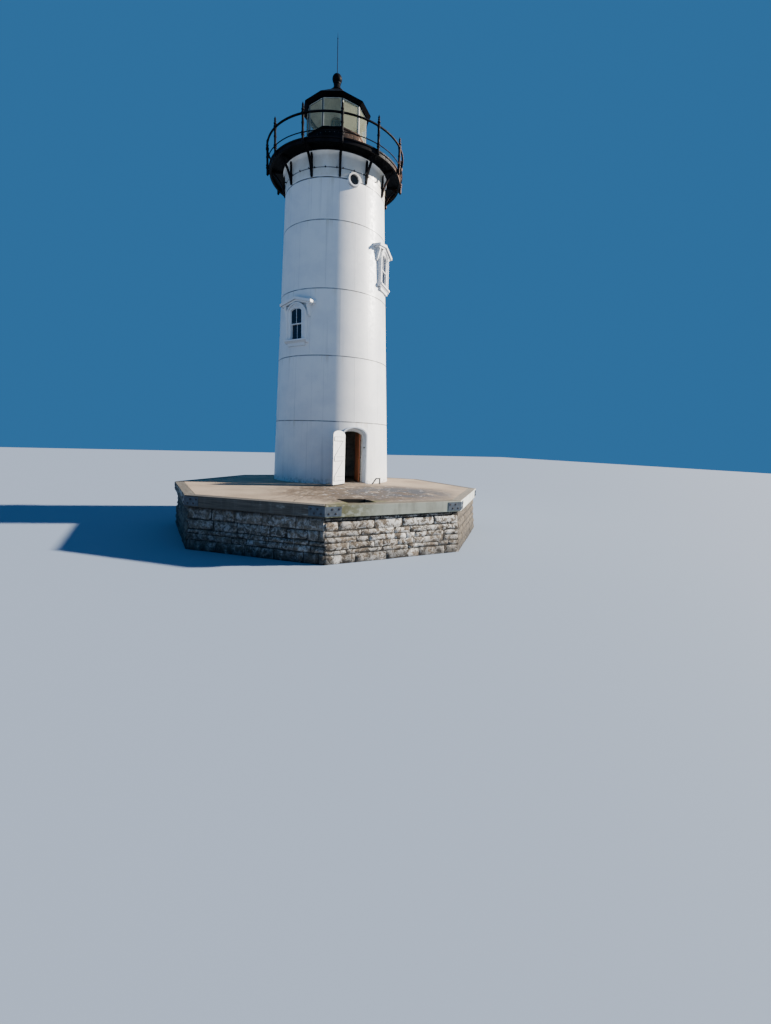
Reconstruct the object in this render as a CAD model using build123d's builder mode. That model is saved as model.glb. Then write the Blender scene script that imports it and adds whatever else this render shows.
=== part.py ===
# A harbour lighthouse of bolted cast-iron plates on an octagonal masonry platform
# Millimetres, +Z up, the doorway faces -Y, origin at the bottom centre of the platform
from build123d import *
from math import cos, degrees, radians, sin, sqrt, tan
import os

os.makedirs("parts", exist_ok=True)

# Platform
corner_radius = 5270  # from the middle of the octagon to a corner of its top
beam_height = 300
beam_width = 280
beam_joint = 4
wall_height = 1160
wall_inset = 60  # the timbers overhang the masonry by this much
wall_batter = 120
recess_width = 760
recess_length = 170
recess_depth = 90
recess_x = -420
recess_y = -4470
corner_plate_wing = 430
corner_plate_height = 235
corner_plate_thickness = 10

# Tower
tower_x = 960
tower_y = 2380
base_radius = 2275
top_radius = 1827
first_course_cover = 155  # of the first course, over the doorway's frame
second_course = 2255
third_course = 2235
fourth_course = 2215
fifth_course = 1335
plate_count = 12
plate_joint = 3
plate_thickness = 32
seam_bevel = 7
lining_base = 330  # thickness of the brick lining at the foot
lining_top = 150
lining_gap = 5

# Doorway
door_half_width = 450
door_spring = 1745
door_rise = 280
door_frame_thickness = 45
door_frame_depth = 450
door_frame_proud = 20
door_sill_height = 45
door_sill_nose = 60
leaf_thickness = 45
leaf_clearance = 10
leaf_head_clearance = 20
leaf_setback = 5
outer_open_angle = 139
inner_open_angle = 104
hinge_pin_radius = 8
hinge_eye_radius = 16
hinge_running_gap = 0.4
hinge_stand_off = 30
hinge_offset = 12
hinge_lug_height = 16
hinge_lug_gap = 2
hinge_pin_end = 8
hinge_low = 330
hinge_drop = 155  # the top hinge, below the door's spring line
strap_length = 520
strap_width = 55
strap_thickness = 7
batten_width = 130
batten_thickness = 28
batten_inset = 55
batten_low = 250
batten_drop = 135  # the top batten, below the door's spring line
keeper_height = 1306
keeper_place = 130  # behind the frame's face
keeper_width = 90
keeper_length = 60
keeper_thickness = 18

# Windows
window_angles = [-165, -60, 45]  # from the doorway, turning with the stair
window_courses = [1, 2, 3]
window_rise = 563  # the opening's foot above the foot of its course
window_half_width = 255
window_height = 1045
window_arch_rise = 110
architrave_half_width = 450
architrave_spring = 820
architrave_rise = 420
architrave_proud = 45
architrave_band = 70
architrave_band_proud = 25
window_lining = 38
window_frame_depth = 250
sill_half_width = 500
sill_height = 130
sill_proud = 130
sill_slope = 15
apron_half_width = 395
apron_height = 100
apron_proud = 60
hood_half_width = 715
hood_peak = 1415  # above the opening's foot
hood_end = 1235
hood_thickness = 85
hood_proud = 175
bed_mould_half_width = 640
bed_mould_thickness = 60
bed_mould_proud = 115
console_place = 520
console_width = 80
console_foot = 720  # above the opening's foot
console_top_proud = 170
console_foot_proud = 80
sash_stile = 48
sash_thickness = 40
sash_setback = 50
sash_spacing = 10
meeting_rail = 44
pane_thickness = 6

# Portholes
porthole_radius = 162
porthole_sleeve = 28
porthole_outer_radius = 220
porthole_proud = 95
porthole_depth = 280
porthole_setback = 70
porthole_pane = 12
porthole_chamfer = 14
porthole_angles = [0, 180]

# Gallery
gallery_turn = -2.1  # the gallery ironwork is set this far round from the doorway
belt_flare_foot = 625  # above the top seam
belt_flare_height = 147
belt_swell = 13
belt_head_swell = 75
cove_height = 53
cove_reach = 73
gallery_plate = 60
gallery_reach = 587  # the rim, out from the top of the shell
rim_depth = 150
rim_width = 70
rim_nosing = 25
nosing_height = 28
bay_count = 12
bracket_thickness = 72
bracket_rise = 27  # the bracket's foot, above the top seam
bracket_leg = 46
bracket_arm = 52
bracket_brace = 50
bracket_hollow = 92  # how far the brace bows in from a straight strut

# Railing
post_radius = 27
post_clearance = 5  # between the posts and the rim
post_drop = 215  # the foot of a post's pendant, below the deck's top
post_pendant = 75
post_pendant_radius = 33
post_collar_radius = 38
post_collar = 26  # half the height of a collar
post_bead_radius = 34
post_neck_radius = 16
spear_radius = 24
finial_height = 300
post_lug_width = 44
post_lug_height = 90
rail_rise = 666
rail_radius = 23
lower_rail_rise = 122
lower_rail_radius = 11

# Lantern
lantern_corner = -11.5  # a corner of the lantern, from the doorway
lantern_sides = 10
lantern_radius = 1120  # to the corners of its sill
lantern_joint = 2
lantern_wall_thickness = 40
lantern_wall_setback = 28
lantern_gap = 10  # from the lantern's corners to the deck's inner edge
sill_rise = 1113
lantern_sill_height = 60
lantern_base_height = 110
lantern_base_setback = 8
floor_ledge = 90
floor_ledge_height = 40
glazing_height = 892
eave_depth = 103
eave_low_reach = 22  # the foot of the eave, out from the lantern's corners
eave_high_reach = 125
eave_cover = 90  # how far the eave runs in over the glass
mullion_width = 34
mullion_depth = 56
mullion_setback = 22
lantern_pane_thickness = 8
roof_rise = 732
roof_top_radius = 235
roof_thickness = 40
vent_foot_radius = 215
neck_radius = 108
neck_rise = 240
vent_collar_rise = 25
vent_collar_radius = 128
ball_radius = 174
ball_rise = 192  # the ball's middle, above the neck
rod_seat_rise = 15
rod_seat_radius = 28
rod_length = 1345
rod_radius = 12
rod_collar_radius = 20
rod_collar_drop = 239
pedestal_radius = 130
pedestal_table_radius = 300
pedestal_table = 40
lens_rise = 1270
lens_foot_radius = 190
lens_radius = 255
lens_height = 600
lens_cap_radius = 140
lens_cap_height = 150

# Boot scraper
scraper_foot_x = 650
scraper_bend_x = 830
scraper_end_x = 1015
scraper_height = 226
scraper_stand_off = 55
scraper_bar = 40
scraper_thickness = 12

# Derived sizes
fit_gap = 0.4
octagon_turn = 22.5
deck_top = wall_height + beam_height
octagon_flat = corner_radius * cos(radians(octagon_turn))
first_course = door_spring + door_rise + door_frame_thickness + first_course_cover
course_heights = [first_course, second_course, third_course, fourth_course, fifth_course]
course_tops = [sum(course_heights[: count + 1]) for count in range(len(course_heights))]
belt_low = course_tops[-1]
belt_flare_start = belt_low + belt_flare_foot
belt_top = belt_flare_start + belt_flare_height
belt_upper_radius = top_radius + belt_swell
belt_head_radius = top_radius + belt_head_swell
taper = (base_radius - top_radius) / belt_low
lining_taper = (lining_base - lining_top) / belt_low
plate_angle = 360 / plate_count
bay = 360 / bay_count
door_face = base_radius + door_frame_proud
door_back = door_face - door_frame_depth
hinge_top = door_spring - hinge_drop
hinge_heights = [hinge_low, (hinge_low + hinge_top) / 2, hinge_top]
batten_top = door_spring - batten_drop
batten_heights = [batten_low, (batten_low + batten_top) / 2, batten_top]
cut_margin = 400  # how far a cutting shape runs past what it cuts
soffit = belt_top + cove_height
gallery_top = soffit + gallery_plate
gallery_inner_radius = lantern_radius + lantern_gap
cornice_radius = belt_head_radius + cove_reach
rim_radius = top_radius + gallery_reach
rim_low = gallery_top - rim_depth
rim_face = rim_radius - rim_nosing
bracket_foot = belt_low + bracket_rise
post_line_radius = rim_radius + post_radius + post_clearance
post_low = gallery_top - post_drop
rail_height = gallery_top + rail_rise
lower_rail_height = gallery_top + lower_rail_rise
post_high = rail_height + finial_height
post_turn = gallery_turn + bay / 2
side_angle = 360 / lantern_sides
side_turn = lantern_corner + side_angle / 2
side_tangent = tan(radians(side_angle / 2))
corner_ratio = cos(radians(side_angle / 2))
lantern_flat = lantern_radius * corner_ratio
sill_top = gallery_top + sill_rise
eave_low = sill_top + glazing_height
eave_high = eave_low + eave_depth
eave_low_radius = lantern_radius + eave_low_reach
eave_high_radius = lantern_radius + eave_high_reach
eave_inner_radius = lantern_radius - eave_cover
roof_top = eave_high + roof_rise
neck_height = roof_top + neck_rise
ball_height = neck_height + ball_rise
rod_seat = ball_height + ball_radius + rod_seat_rise
rod_top = rod_seat + rod_length
rod_collar_height = rod_top - rod_collar_drop
lens_foot = gallery_top + lens_rise
lens_shoulder = lens_foot + lens_height
lens_top = lens_shoulder + lens_cap_height
scraper_line = base_radius + scraper_stand_off
tower_foot = Plane(origin=(tower_x, tower_y, deck_top))


def shell_radius(height):
    """Outer radius of the tapering shell at a height above the platform."""
    return base_radius - taper * height


def shell_depth(height, offset):
    """How far out the shell's surface is at a height, this far to one side."""
    return sqrt(shell_radius(height) ** 2 - offset**2)


def lining_radius(height):
    """Inner radius of the brick lining at a height above the platform."""
    lining = lining_base - lining_taper * height
    return shell_radius(height) - plate_thickness - lining_gap - lining


def course_foot(index):
    """Height at which a course of plates starts."""
    return 0 if index == 0 else course_tops[index - 1]


def window_foot(index):
    """Height of the foot of a window's opening."""
    return course_foot(window_courses[index]) + window_rise


def facing(distance):
    """A plane facing out of the tower at -Y, this far from its axis."""
    return Plane(origin=(0, -distance, 0), x_dir=(1, 0, 0), z_dir=(0, -1, 0))


def section(angle):
    """An upright plane through the axis, with x outwards at this angle from +X."""
    turn = radians(angle)
    return Plane(origin=(0, 0, 0), x_dir=(cos(turn), sin(turn), 0), z_dir=(sin(turn), -cos(turn), 0))


def around_axis(angle):
    """A place on the tower's axis, turned from the doorway by an angle."""
    return Location((0, 0, 0), (0, 0, angle))


def arc_of(radius, gap):
    """The angle that a gap of this width takes at this radius."""
    return degrees(gap / radius)


def outline_of(points):
    """A closed outline through straight runs."""
    with BuildSketch() as outline:
        with BuildLine():
            Polyline(*points, close=True)
        make_face()
    return outline.sketch


def arch_head(half_width, spring, rise):
    """The elliptical head of an opening, above its spring line."""
    with BuildSketch() as outline:
        with BuildLine():
            Line((-half_width, spring), (half_width, spring))
            EllipticalCenterArc((0, spring), half_width, rise, start_angle=0, arc_size=180)
        make_face()
    return outline.sketch


def arched(half_width, low, spring, rise):
    """A doorway or window outline with an elliptical head."""
    with BuildSketch() as outline:
        with BuildLine():
            Polyline((-half_width, spring), (-half_width, low), (half_width, low), (half_width, spring))
            EllipticalCenterArc((0, spring), half_width, rise, start_angle=0, arc_size=180)
        make_face()
    return outline.sketch


def band(half_width, low, high):
    """A rectangle centred on the doorway's line between two heights."""
    return outline_of([(-half_width, low), (half_width, low), (half_width, high), (-half_width, high)])


def circle_at(radius, height):
    """A circle on the doorway's line at a height."""
    with BuildSketch() as outline:
        with Locations((0, height)):
            Circle(radius)
    return outline.sketch


def without(outline, hole):
    """An outline with a hole or notch taken out of it."""
    with BuildSketch() as rest:
        add(outline)
        add(hole, mode=Mode.SUBTRACT)
    return rest.sketch


def slab(outline, near, far):
    """An outline facing -Y, thick from one distance off the axis to another."""
    with BuildPart() as body:
        with BuildSketch(facing(near)):
            add(outline)
        extrude(amount=far - near)
    return body.part


def prism(outline, low, high):
    """A plan outline raised between two heights."""
    with BuildPart() as body:
        with BuildSketch(Plane.XY.offset(low)):
            add(outline)
        extrude(amount=high - low)
    return body.part


def side_piece(outline, width):
    """An outline seen from the side, made this wide about the doorway's line."""
    with BuildPart() as body:
        with BuildSketch(section(-90)):
            add(outline)
        extrude(amount=width / 2, both=True)
    return body.part


def turned_sector(profile, arc):
    """A radial profile turned about the tower's axis, centred on -Y."""
    with BuildPart() as sector:
        with BuildSketch(section(-90 - arc / 2)):
            add(profile)
        revolve(axis=Axis.Z, revolution_arc=arc)
    return sector.part


def fused(*pieces):
    """Several overlapping pieces as one."""
    with BuildPart() as body:
        for piece in pieces:
            add(piece)
    return body.part


def less(piece, *cutters):
    """A piece with others cut out of it."""
    with BuildPart() as body:
        add(piece)
        for cutter in cutters:
            add(cutter, mode=Mode.SUBTRACT)
    return body.part


def keep(piece, name):
    """Label a finished piece and write it."""
    piece.label = name
    export_step(piece, f"parts/{name}.step")


def keep_around(piece, name, count, start):
    """Write copies of a piece, set round the tower's axis, as one node."""
    with BuildPart(tower_foot) as ring:
        with PolarLocations(0, count, start_angle=start):
            add(piece)
    keep(ring.part, name)


def keep_in_place(piece, name, turn=0):
    """Write a piece that was drawn about the tower's axis, turned from the doorway."""
    with BuildPart(tower_foot) as body:
        with Locations(around_axis(turn)):
            add(piece)
    keep(body.part, name)


# Platform: the masonry mass, battered outwards to the ground
masonry_flat = octagon_flat - wall_inset
with BuildPart() as foundation_wall:
    with BuildSketch():
        RegularPolygon(radius=masonry_flat + wall_batter, side_count=8, major_radius=False, rotation=octagon_turn)
    with BuildSketch(Plane.XY.offset(wall_height)):
        RegularPolygon(radius=masonry_flat, side_count=8, major_radius=False, rotation=octagon_turn)
    loft()
keep(foundation_wall.part, "foundation_wall")

# The concrete top within the timbers, with the empty seat of a landing near its front edge
slab_flat = octagon_flat - beam_width - fit_gap
with BuildPart() as deck_slab:
    with BuildSketch(Plane.XY.offset(wall_height)):
        RegularPolygon(radius=slab_flat, side_count=8, major_radius=False, rotation=octagon_turn)
    extrude(amount=beam_height)
    with BuildSketch(Plane.XY.offset(deck_top)):
        with Locations((recess_x, recess_y)):
            Rectangle(recess_width, recess_length)
    extrude(amount=-recess_depth, mode=Mode.SUBTRACT)
keep(deck_slab.part, "deck_slab")

# Eight squared timbers edge the top, mitred at the corners
beam_half_outer = octagon_flat * tan(radians(octagon_turn)) - beam_joint / 2
beam_half_inner = beam_half_outer - beam_width * tan(radians(octagon_turn))
beam_outline = outline_of([
    (-beam_half_outer, -octagon_flat),
    (beam_half_outer, -octagon_flat),
    (beam_half_inner, -octagon_flat + beam_width),
    (-beam_half_inner, -octagon_flat + beam_width),
])
fascia_beam = prism(beam_outline, wall_height, deck_top)
with BuildPart() as fascia_beams:
    with PolarLocations(0, 8):
        add(fascia_beam)
keep(fascia_beams.part, "fascia_beams")

# Bent steel plates tie the timbers at each corner
corner_y = -corner_radius - fit_gap
wing_x = corner_plate_wing * cos(radians(octagon_turn))
wing_y = corner_y + corner_plate_wing * sin(radians(octagon_turn))
plate_x = wing_x + corner_plate_thickness * sin(radians(octagon_turn))
plate_y = wing_y - corner_plate_thickness * cos(radians(octagon_turn))
corner_plate_outline = outline_of([
    (0, corner_y),
    (wing_x, wing_y),
    (plate_x, plate_y),
    (0, corner_y - corner_plate_thickness / cos(radians(octagon_turn))),
    (-plate_x, plate_y),
    (-wing_x, wing_y),
])
corner_plate_low = deck_top - (beam_height + corner_plate_height) / 2
corner_plate = prism(corner_plate_outline, corner_plate_low, corner_plate_low + corner_plate_height)
with BuildPart() as corner_plates:
    with PolarLocations(0, 8, start_angle=octagon_turn):
        add(corner_plate)
keep(corner_plates.part, "corner_plates")

# What the doorway, windows and portholes take out of shell and lining
frame_half = door_half_width + door_frame_thickness
frame_rise = door_rise + door_frame_thickness
doorway_cut = slab(
    arched(frame_half + fit_gap, -cut_margin, door_spring, frame_rise + fit_gap),
    door_back - cut_margin,
    door_face + cut_margin,
)


def window_opening(index, border):
    """A window's arched outline, this much larger than the opening all round."""
    foot = window_foot(index)
    spring = foot + window_height - window_arch_rise
    return arched(window_half_width + border, foot - border, spring, window_arch_rise + border)


def window_cut(index):
    """The hole that a window's frame fills, turned to its place."""
    radius = shell_radius(window_foot(index))
    cutter = slab(window_opening(index, window_lining + fit_gap), radius - 2 * cut_margin, radius + cut_margin)
    return cutter.moved(around_axis(window_angles[index]))


porthole_outline = circle_at(porthole_radius + porthole_sleeve + fit_gap, belt_low)
porthole_cutter = slab(porthole_outline, top_radius - cut_margin, top_radius + cut_margin)
porthole_cuts = [porthole_cutter.moved(around_axis(angle + gallery_turn)) for angle in porthole_angles]
window_cuts = [window_cut(index) for index in range(len(window_courses))]


def shell_profile(low, high):
    """Section of one course of plates, its outer edges eased at the seams."""
    return outline_of([
        (shell_radius(low) - plate_thickness, low),
        (shell_radius(low) - seam_bevel, low),
        (shell_radius(low + seam_bevel), low + seam_bevel),
        (shell_radius(high - seam_bevel), high - seam_bevel),
        (shell_radius(high) - seam_bevel, high),
        (shell_radius(high) - plate_thickness, high),
    ])


def lining_profile(low, high):
    """Section of the brick lining between two heights."""
    gap = plate_thickness + lining_gap
    return outline_of([
        (lining_radius(low), low),
        (shell_radius(low) - gap, low),
        (shell_radius(high) - gap, high),
        (lining_radius(high), high),
    ])


def ring_zone(low, high):
    """A block over one plate's angle, from inside the lining to outside the shell."""
    outline = outline_of([
        (top_radius / 2, low),
        (base_radius + cut_margin, low),
        (base_radius + cut_margin, high),
        (top_radius / 2, high),
    ])
    return turned_sector(outline, plate_angle)


# Shell: five courses of twelve plates, their upright joints staggered
plate_arc = plate_angle - arc_of(base_radius, plate_joint)
head_zone = ring_zone(door_spring, course_tops[0] + cut_margin)
course_turns = [0, plate_angle / 2, 0, plate_angle / 2, gallery_turn]
course_cuts = [[doorway_cut, head_zone], [], [], [], porthole_cuts]
for window, course in enumerate(window_courses):
    course_cuts[course] = course_cuts[course] + [window_cuts[window]]
for index, top in enumerate(course_tops):
    plate = turned_sector(shell_profile(course_foot(index), top), plate_arc)
    with BuildPart(tower_foot) as course_ring:
        with PolarLocations(0, plate_count, start_angle=course_turns[index]):
            add(plate)
        for cutter in course_cuts[index]:
            add(cutter, mode=Mode.SUBTRACT)
    keep(course_ring.part, f"course_{index + 1}")

# The plate over the doorway
door_plate = turned_sector(shell_profile(door_spring, course_tops[0]), plate_arc)
keep_in_place(less(door_plate, doorway_cut), "doorway_head_plate")

# Brick lining, open over the whole height inside
lining_span = 360 - plate_angle
base_wedge = turned_sector(lining_profile(0, course_tops[0]), plate_arc)
upper_wedge = turned_sector(lining_profile(course_tops[0], belt_low), plate_arc)
lintel_wedge = turned_sector(lining_profile(door_spring, course_tops[0]), plate_arc)
keep_in_place(less(lintel_wedge, doorway_cut), "doorway_lintel")
with BuildPart(tower_foot) as base_lining:
    with PolarLocations(0, plate_count - 1, start_angle=plate_angle, angular_range=lining_span):
        add(base_wedge)
    add(doorway_cut, mode=Mode.SUBTRACT)
keep(base_lining.part, "base_lining")

with BuildPart(tower_foot) as upper_lining:
    with PolarLocations(0, plate_count):
        add(upper_wedge)
    for cutter in window_cuts + porthole_cuts:
        add(cutter, mode=Mode.SUBTRACT)
keep(upper_lining.part, "upper_lining")

# The belt between the top seam and the gallery, flaring into a head
flare_middle = (belt_upper_radius + (belt_head_radius - belt_upper_radius) * 0.3, belt_flare_start + belt_flare_height * 0.6)


def belt_outline(feet, clearance):
    """The belt's outer line above its feet, this far outside the real surface."""
    head = (belt_head_radius + clearance, belt_top)
    flare = (belt_upper_radius + clearance, belt_flare_start)
    with BuildSketch() as outline:
        with BuildLine():
            Polyline(head, (feet[0][0], belt_top), *feet, (top_radius + clearance, belt_low + seam_bevel), flare)
            ThreePointArc(flare, (flare_middle[0] + clearance, flare_middle[1]), head)
        make_face()
    return outline.sketch


belt_inner = top_radius - plate_thickness
belt_feet = [(belt_inner, belt_low), (top_radius - seam_bevel, belt_low)]
belt_segment = turned_sector(belt_outline(belt_feet, 0), plate_arc)
with BuildPart(tower_foot) as gallery_belt:
    with PolarLocations(0, plate_count, start_angle=gallery_turn):
        add(belt_segment)
    for cutter in porthole_cuts:
        add(cutter, mode=Mode.SUBTRACT)
keep(gallery_belt.part, "gallery_belt")

# The tower's outer form with a small clearance, to which hoods, sills and brackets are scribed
tower_core = turned_sector(belt_outline([(0, 0), (base_radius + fit_gap, 0)], fit_gap), 360)

# Doorway: an iron frame runs through the wall
with BuildPart(tower_foot) as door_jambs:
    with BuildSketch(tower_foot):
        with Locations((0, -(door_face + door_back) / 2)):
            with GridLocations(2 * door_half_width + door_frame_thickness, 0, 2, 1):
                Rectangle(door_frame_thickness, door_frame_depth)
    extrude(amount=door_spring)
keep(door_jambs.part, "door_jambs")

arch_outline = without(
    arch_head(frame_half, door_spring, frame_rise),
    arch_head(door_half_width, door_spring, door_rise),
)
keep_in_place(slab(arch_outline, door_back, door_face), "door_arch")
threshold = band(door_half_width - fit_gap, 0, door_sill_height)
keep_in_place(slab(threshold, door_back, door_face + door_sill_nose), "door_sill")

# Door leaves: boarded, with battens and braces on the outer leaf's inner face
leaf_low = door_sill_height + leaf_clearance
leaf_half = door_half_width - leaf_clearance
leaf_outline = arched(leaf_half, leaf_low, door_spring, door_rise - leaf_head_clearance)
outer_leaf_face = door_face - leaf_setback
inner_leaf_face = door_back + leaf_setback
outer_pin = (-door_half_width - hinge_offset, -outer_leaf_face - hinge_stand_off)
inner_pin = (door_half_width + hinge_offset, -inner_leaf_face + hinge_stand_off)
batten_half = leaf_half - batten_inset
with BuildSketch() as batten_outline:
    for height in batten_heights:
        with Locations((0, height)):
            Rectangle(2 * batten_half, batten_width)
    for low, high in zip(batten_heights, batten_heights[1:]):
        with BuildLine():
            Polyline(
                (-batten_half, low),
                (-batten_half + batten_width, low),
                (batten_half, high),
                (batten_half - batten_width, high),
                close=True,
            )
        make_face()
leaf_back = outer_leaf_face - leaf_thickness
outer_leaf = fused(
    slab(leaf_outline, leaf_back, outer_leaf_face),
    slab(batten_outline.sketch, leaf_back - batten_thickness, leaf_back),
)
inner_leaf = slab(leaf_outline, inner_leaf_face, inner_leaf_face + leaf_thickness)


def strap_set(pin, leaf_face, outwards):
    """Three straps of a closed leaf, each an eye on the pin and a flat run on the leaf."""
    along = 1 if pin[0] < 0 else -1
    edge = pin[0] + along * (hinge_offset + leaf_clearance)
    back = -leaf_face + outwards * strap_thickness
    with BuildSketch() as outline:
        with Locations(pin):
            Circle(hinge_eye_radius)
        with BuildLine():
            Polyline(
                (pin[0], pin[1] + outwards * hinge_eye_radius),
                (edge + along * strap_width, back),
                (edge + along * strap_length, back),
                (edge + along * strap_length, -leaf_face),
                (edge, -leaf_face),
                (pin[0], pin[1] - outwards * hinge_eye_radius),
                close=True,
            )
        make_face()
        with Locations(pin):
            Circle(hinge_pin_radius + hinge_running_gap, mode=Mode.SUBTRACT)
    strap = prism(outline.sketch, -strap_width / 2, strap_width / 2)
    with BuildPart() as body:
        with Locations(*[(0, 0, height) for height in hinge_heights]):
            add(strap)
    return body.part


def keep_swung(piece, pin, angle, name):
    """Write a leaf's piece, swung open about its pin."""
    hung = piece.moved(Location((-pin[0], -pin[1], 0)))
    keep_in_place(hung.moved(Location((pin[0], pin[1], 0), (0, 0, angle))), name)


outer_straps = strap_set(outer_pin, outer_leaf_face, -1)
inner_straps = strap_set(inner_pin, inner_leaf_face, 1)
keep_swung(outer_leaf, outer_pin, -outer_open_angle, "outer_door")
keep_swung(outer_straps, outer_pin, -outer_open_angle, "outer_door_straps")
keep_swung(inner_leaf, inner_pin, -inner_open_angle, "inner_door")
keep_swung(inner_straps, inner_pin, -inner_open_angle, "inner_door_straps")

# Hinge pins on lugs fixed to the frame's two faces
with BuildPart(tower_foot) as hinge_pins:
    for pin, face in ((outer_pin, -door_face), (inner_pin, -door_back)):
        for height in hinge_heights:
            lug_top = height - strap_width / 2 - hinge_lug_gap
            with BuildSketch(tower_foot.offset(lug_top - hinge_lug_height)):
                with Locations(pin):
                    Circle(hinge_eye_radius)
                with Locations((pin[0], (pin[1] + face) / 2)):
                    Rectangle(2 * hinge_eye_radius, abs(pin[1] - face))
            extrude(amount=hinge_lug_height)
            with BuildSketch(tower_foot.offset(lug_top)):
                with Locations(pin):
                    Circle(hinge_pin_radius)
            extrude(amount=strap_width + hinge_lug_gap + hinge_pin_end)
keep(hinge_pins.part, "hinge_pins")

# The keeper of the outer door's bolt, on the right reveal
keeper_outline = outline_of([
    (door_half_width - keeper_thickness, -door_face + keeper_place),
    (door_half_width, -door_face + keeper_place),
    (door_half_width, -door_face + keeper_place + keeper_width),
    (door_half_width - keeper_thickness, -door_face + keeper_place + keeper_width),
])
keep_in_place(prism(keeper_outline, keeper_height, keeper_height + keeper_length), "door_keeper")

# Boot scraper: a bent bar to the right of the doorway
scraper_outline = outline_of([
    (scraper_foot_x, 0),
    (scraper_bend_x, scraper_height),
    (scraper_end_x, scraper_height),
    (scraper_end_x, 0),
    (scraper_end_x - scraper_thickness, 0),
    (scraper_end_x - scraper_thickness, scraper_height - scraper_thickness),
    (scraper_bend_x + scraper_thickness / 2, scraper_height - scraper_thickness),
    (scraper_foot_x + scraper_thickness, 0),
])
keep_in_place(slab(scraper_outline, scraper_line, scraper_line + scraper_bar), "boot_scraper")


def window_frame(index):
    """A window's moulded surround and the lining that runs through the wall."""
    foot = window_foot(index)
    radius = shell_radius(foot)
    face = radius + architrave_proud
    spring = foot + architrave_spring
    opening = window_opening(index, 0)
    outer_edge = arched(architrave_half_width, foot, spring, architrave_rise)
    inner_half = architrave_half_width - architrave_band
    inner_edge = arched(inner_half, foot - 1, spring, architrave_rise - architrave_band)
    sleeve = without(window_opening(index, window_lining), opening)
    upper_sleeve = without(sleeve, band(sill_half_width, foot - sill_height, foot))
    flush = shell_depth(foot, window_half_width + window_lining)
    surround = less(slab(without(outer_edge, opening), radius - cut_margin, face), tower_core)
    moulding = slab(without(outer_edge, inner_edge), face - 1, face + architrave_band_proud)
    lining = slab(upper_sleeve, face - window_frame_depth, face)
    box = slab(sleeve, face - window_frame_depth, flush)
    return [fused(surround, moulding, lining, box)]


def window_sill(index):
    """A projecting sill with a moulded edge, over a plain apron."""
    foot = window_foot(index)
    radius = shell_radius(foot)
    edge = radius + sill_proud
    apron_top = foot - sill_height
    side = outline_of([
        (radius - cut_margin, foot),
        (radius + architrave_proud, foot),
        (edge, foot - sill_slope),
        (edge, foot - sill_height / 2),
        (edge - sill_height / 5, foot - sill_height / 2),
        (edge - sill_height / 2, apron_top),
        (radius - cut_margin, apron_top),
    ])
    apron = slab(
        band(apron_half_width, apron_top - apron_height, apron_top + 1),
        radius - cut_margin,
        radius + apron_proud,
    )
    return [less(fused(side_piece(side, 2 * sill_half_width), apron), tower_core)]


def gable(half_width, peak, end, thickness):
    """A low gabled band of even thickness."""
    return outline_of([
        (-half_width, end - thickness),
        (0, peak - thickness),
        (half_width, end - thickness),
        (half_width, end),
        (0, peak),
        (-half_width, end),
    ])


def window_console(index, near):
    """One scrolled console under a window's hood, on the window's middle line."""
    top = window_foot(index) + hood_end - hood_thickness
    low = window_foot(index) + console_foot
    front = shell_depth(top, console_place) + console_top_proud
    toe = shell_depth(low, console_place) + console_foot_proud
    with BuildSketch() as console_side:
        with BuildLine():
            Polyline(
                (toe, low + console_width),
                (toe - console_width / 2, low),
                (near, low),
                (near, top + 1),
                (front, top + 1),
                (front, top - console_width),
            )
            ThreePointArc(
                (front, top - console_width),
                (toe + (front - toe) / 3, (top + low) / 2),
                (toe, low + console_width),
            )
        make_face()
    return side_piece(console_side.sketch, console_width)


def window_hood(index):
    """A gabled hood over its bed mould, on two scrolled consoles."""
    peak = window_foot(index) + hood_peak
    end = window_foot(index) + hood_end
    near = shell_radius(peak) - cut_margin
    bed_end = end + (peak - end) * (1 - bed_mould_half_width / hood_half_width)
    bed_drop = hood_thickness - 1
    bed_outline = gable(bed_mould_half_width, peak - bed_drop, bed_end - bed_drop, bed_mould_thickness)
    cornice = slab(gable(hood_half_width, peak, end, hood_thickness), near, shell_radius(peak) + hood_proud)
    bed = slab(bed_outline, near, shell_radius(peak) + bed_mould_proud)
    console = window_console(index, near)
    left = console.moved(Location((-console_place, 0, 0)))
    right = console.moved(Location((console_place, 0, 0)))
    return [less(fused(cornice, bed, left, right), tower_core)]


def sash_planes(index):
    """Front faces of the upper and the lower sash."""
    front = shell_radius(window_foot(index)) + architrave_proud - sash_setback
    return front, front - sash_thickness - sash_spacing


def sash_outlines(index, border):
    """The upper and the lower sash, this much smaller all round."""
    foot = window_foot(index)
    half = window_half_width - fit_gap - border
    spring = foot + window_height - window_arch_rise
    meeting = foot + window_height / 2
    upper = arched(half, meeting - meeting_rail / 2 + border, spring, window_arch_rise - fit_gap - border)
    lower = band(half, foot + fit_gap + border, meeting + meeting_rail / 2 - border)
    return upper, lower


def window_sashes(index):
    """Both sashes of a window."""
    outer = sash_outlines(index, 0)
    inner = sash_outlines(index, sash_stile)
    planes = sash_planes(index)
    return [slab(without(outer[half], inner[half]), planes[half] - sash_thickness, planes[half]) for half in (0, 1)]


def window_panes(index):
    """The glass of both sashes."""
    outlines = sash_outlines(index, sash_stile + fit_gap)
    backs = [plane - (sash_thickness + pane_thickness) / 2 for plane in sash_planes(index)]
    return [slab(outlines[half], backs[half], backs[half] + pane_thickness) for half in (0, 1)]


def keep_windows(maker, name):
    """Write one kind of window piece for every window."""
    sets = [maker(index) for index in range(len(window_angles))]
    with BuildPart(tower_foot) as pieces:
        for angle, made in zip(window_angles, sets):
            with Locations(around_axis(angle)):
                for piece in made:
                    add(piece)
    keep(pieces.part, name)


keep_windows(window_frame, "window_frames")
keep_windows(window_sill, "window_sills")
keep_windows(window_hood, "window_hoods")
keep_windows(window_sashes, "window_sashes")
keep_windows(window_panes, "window_glass")

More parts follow.
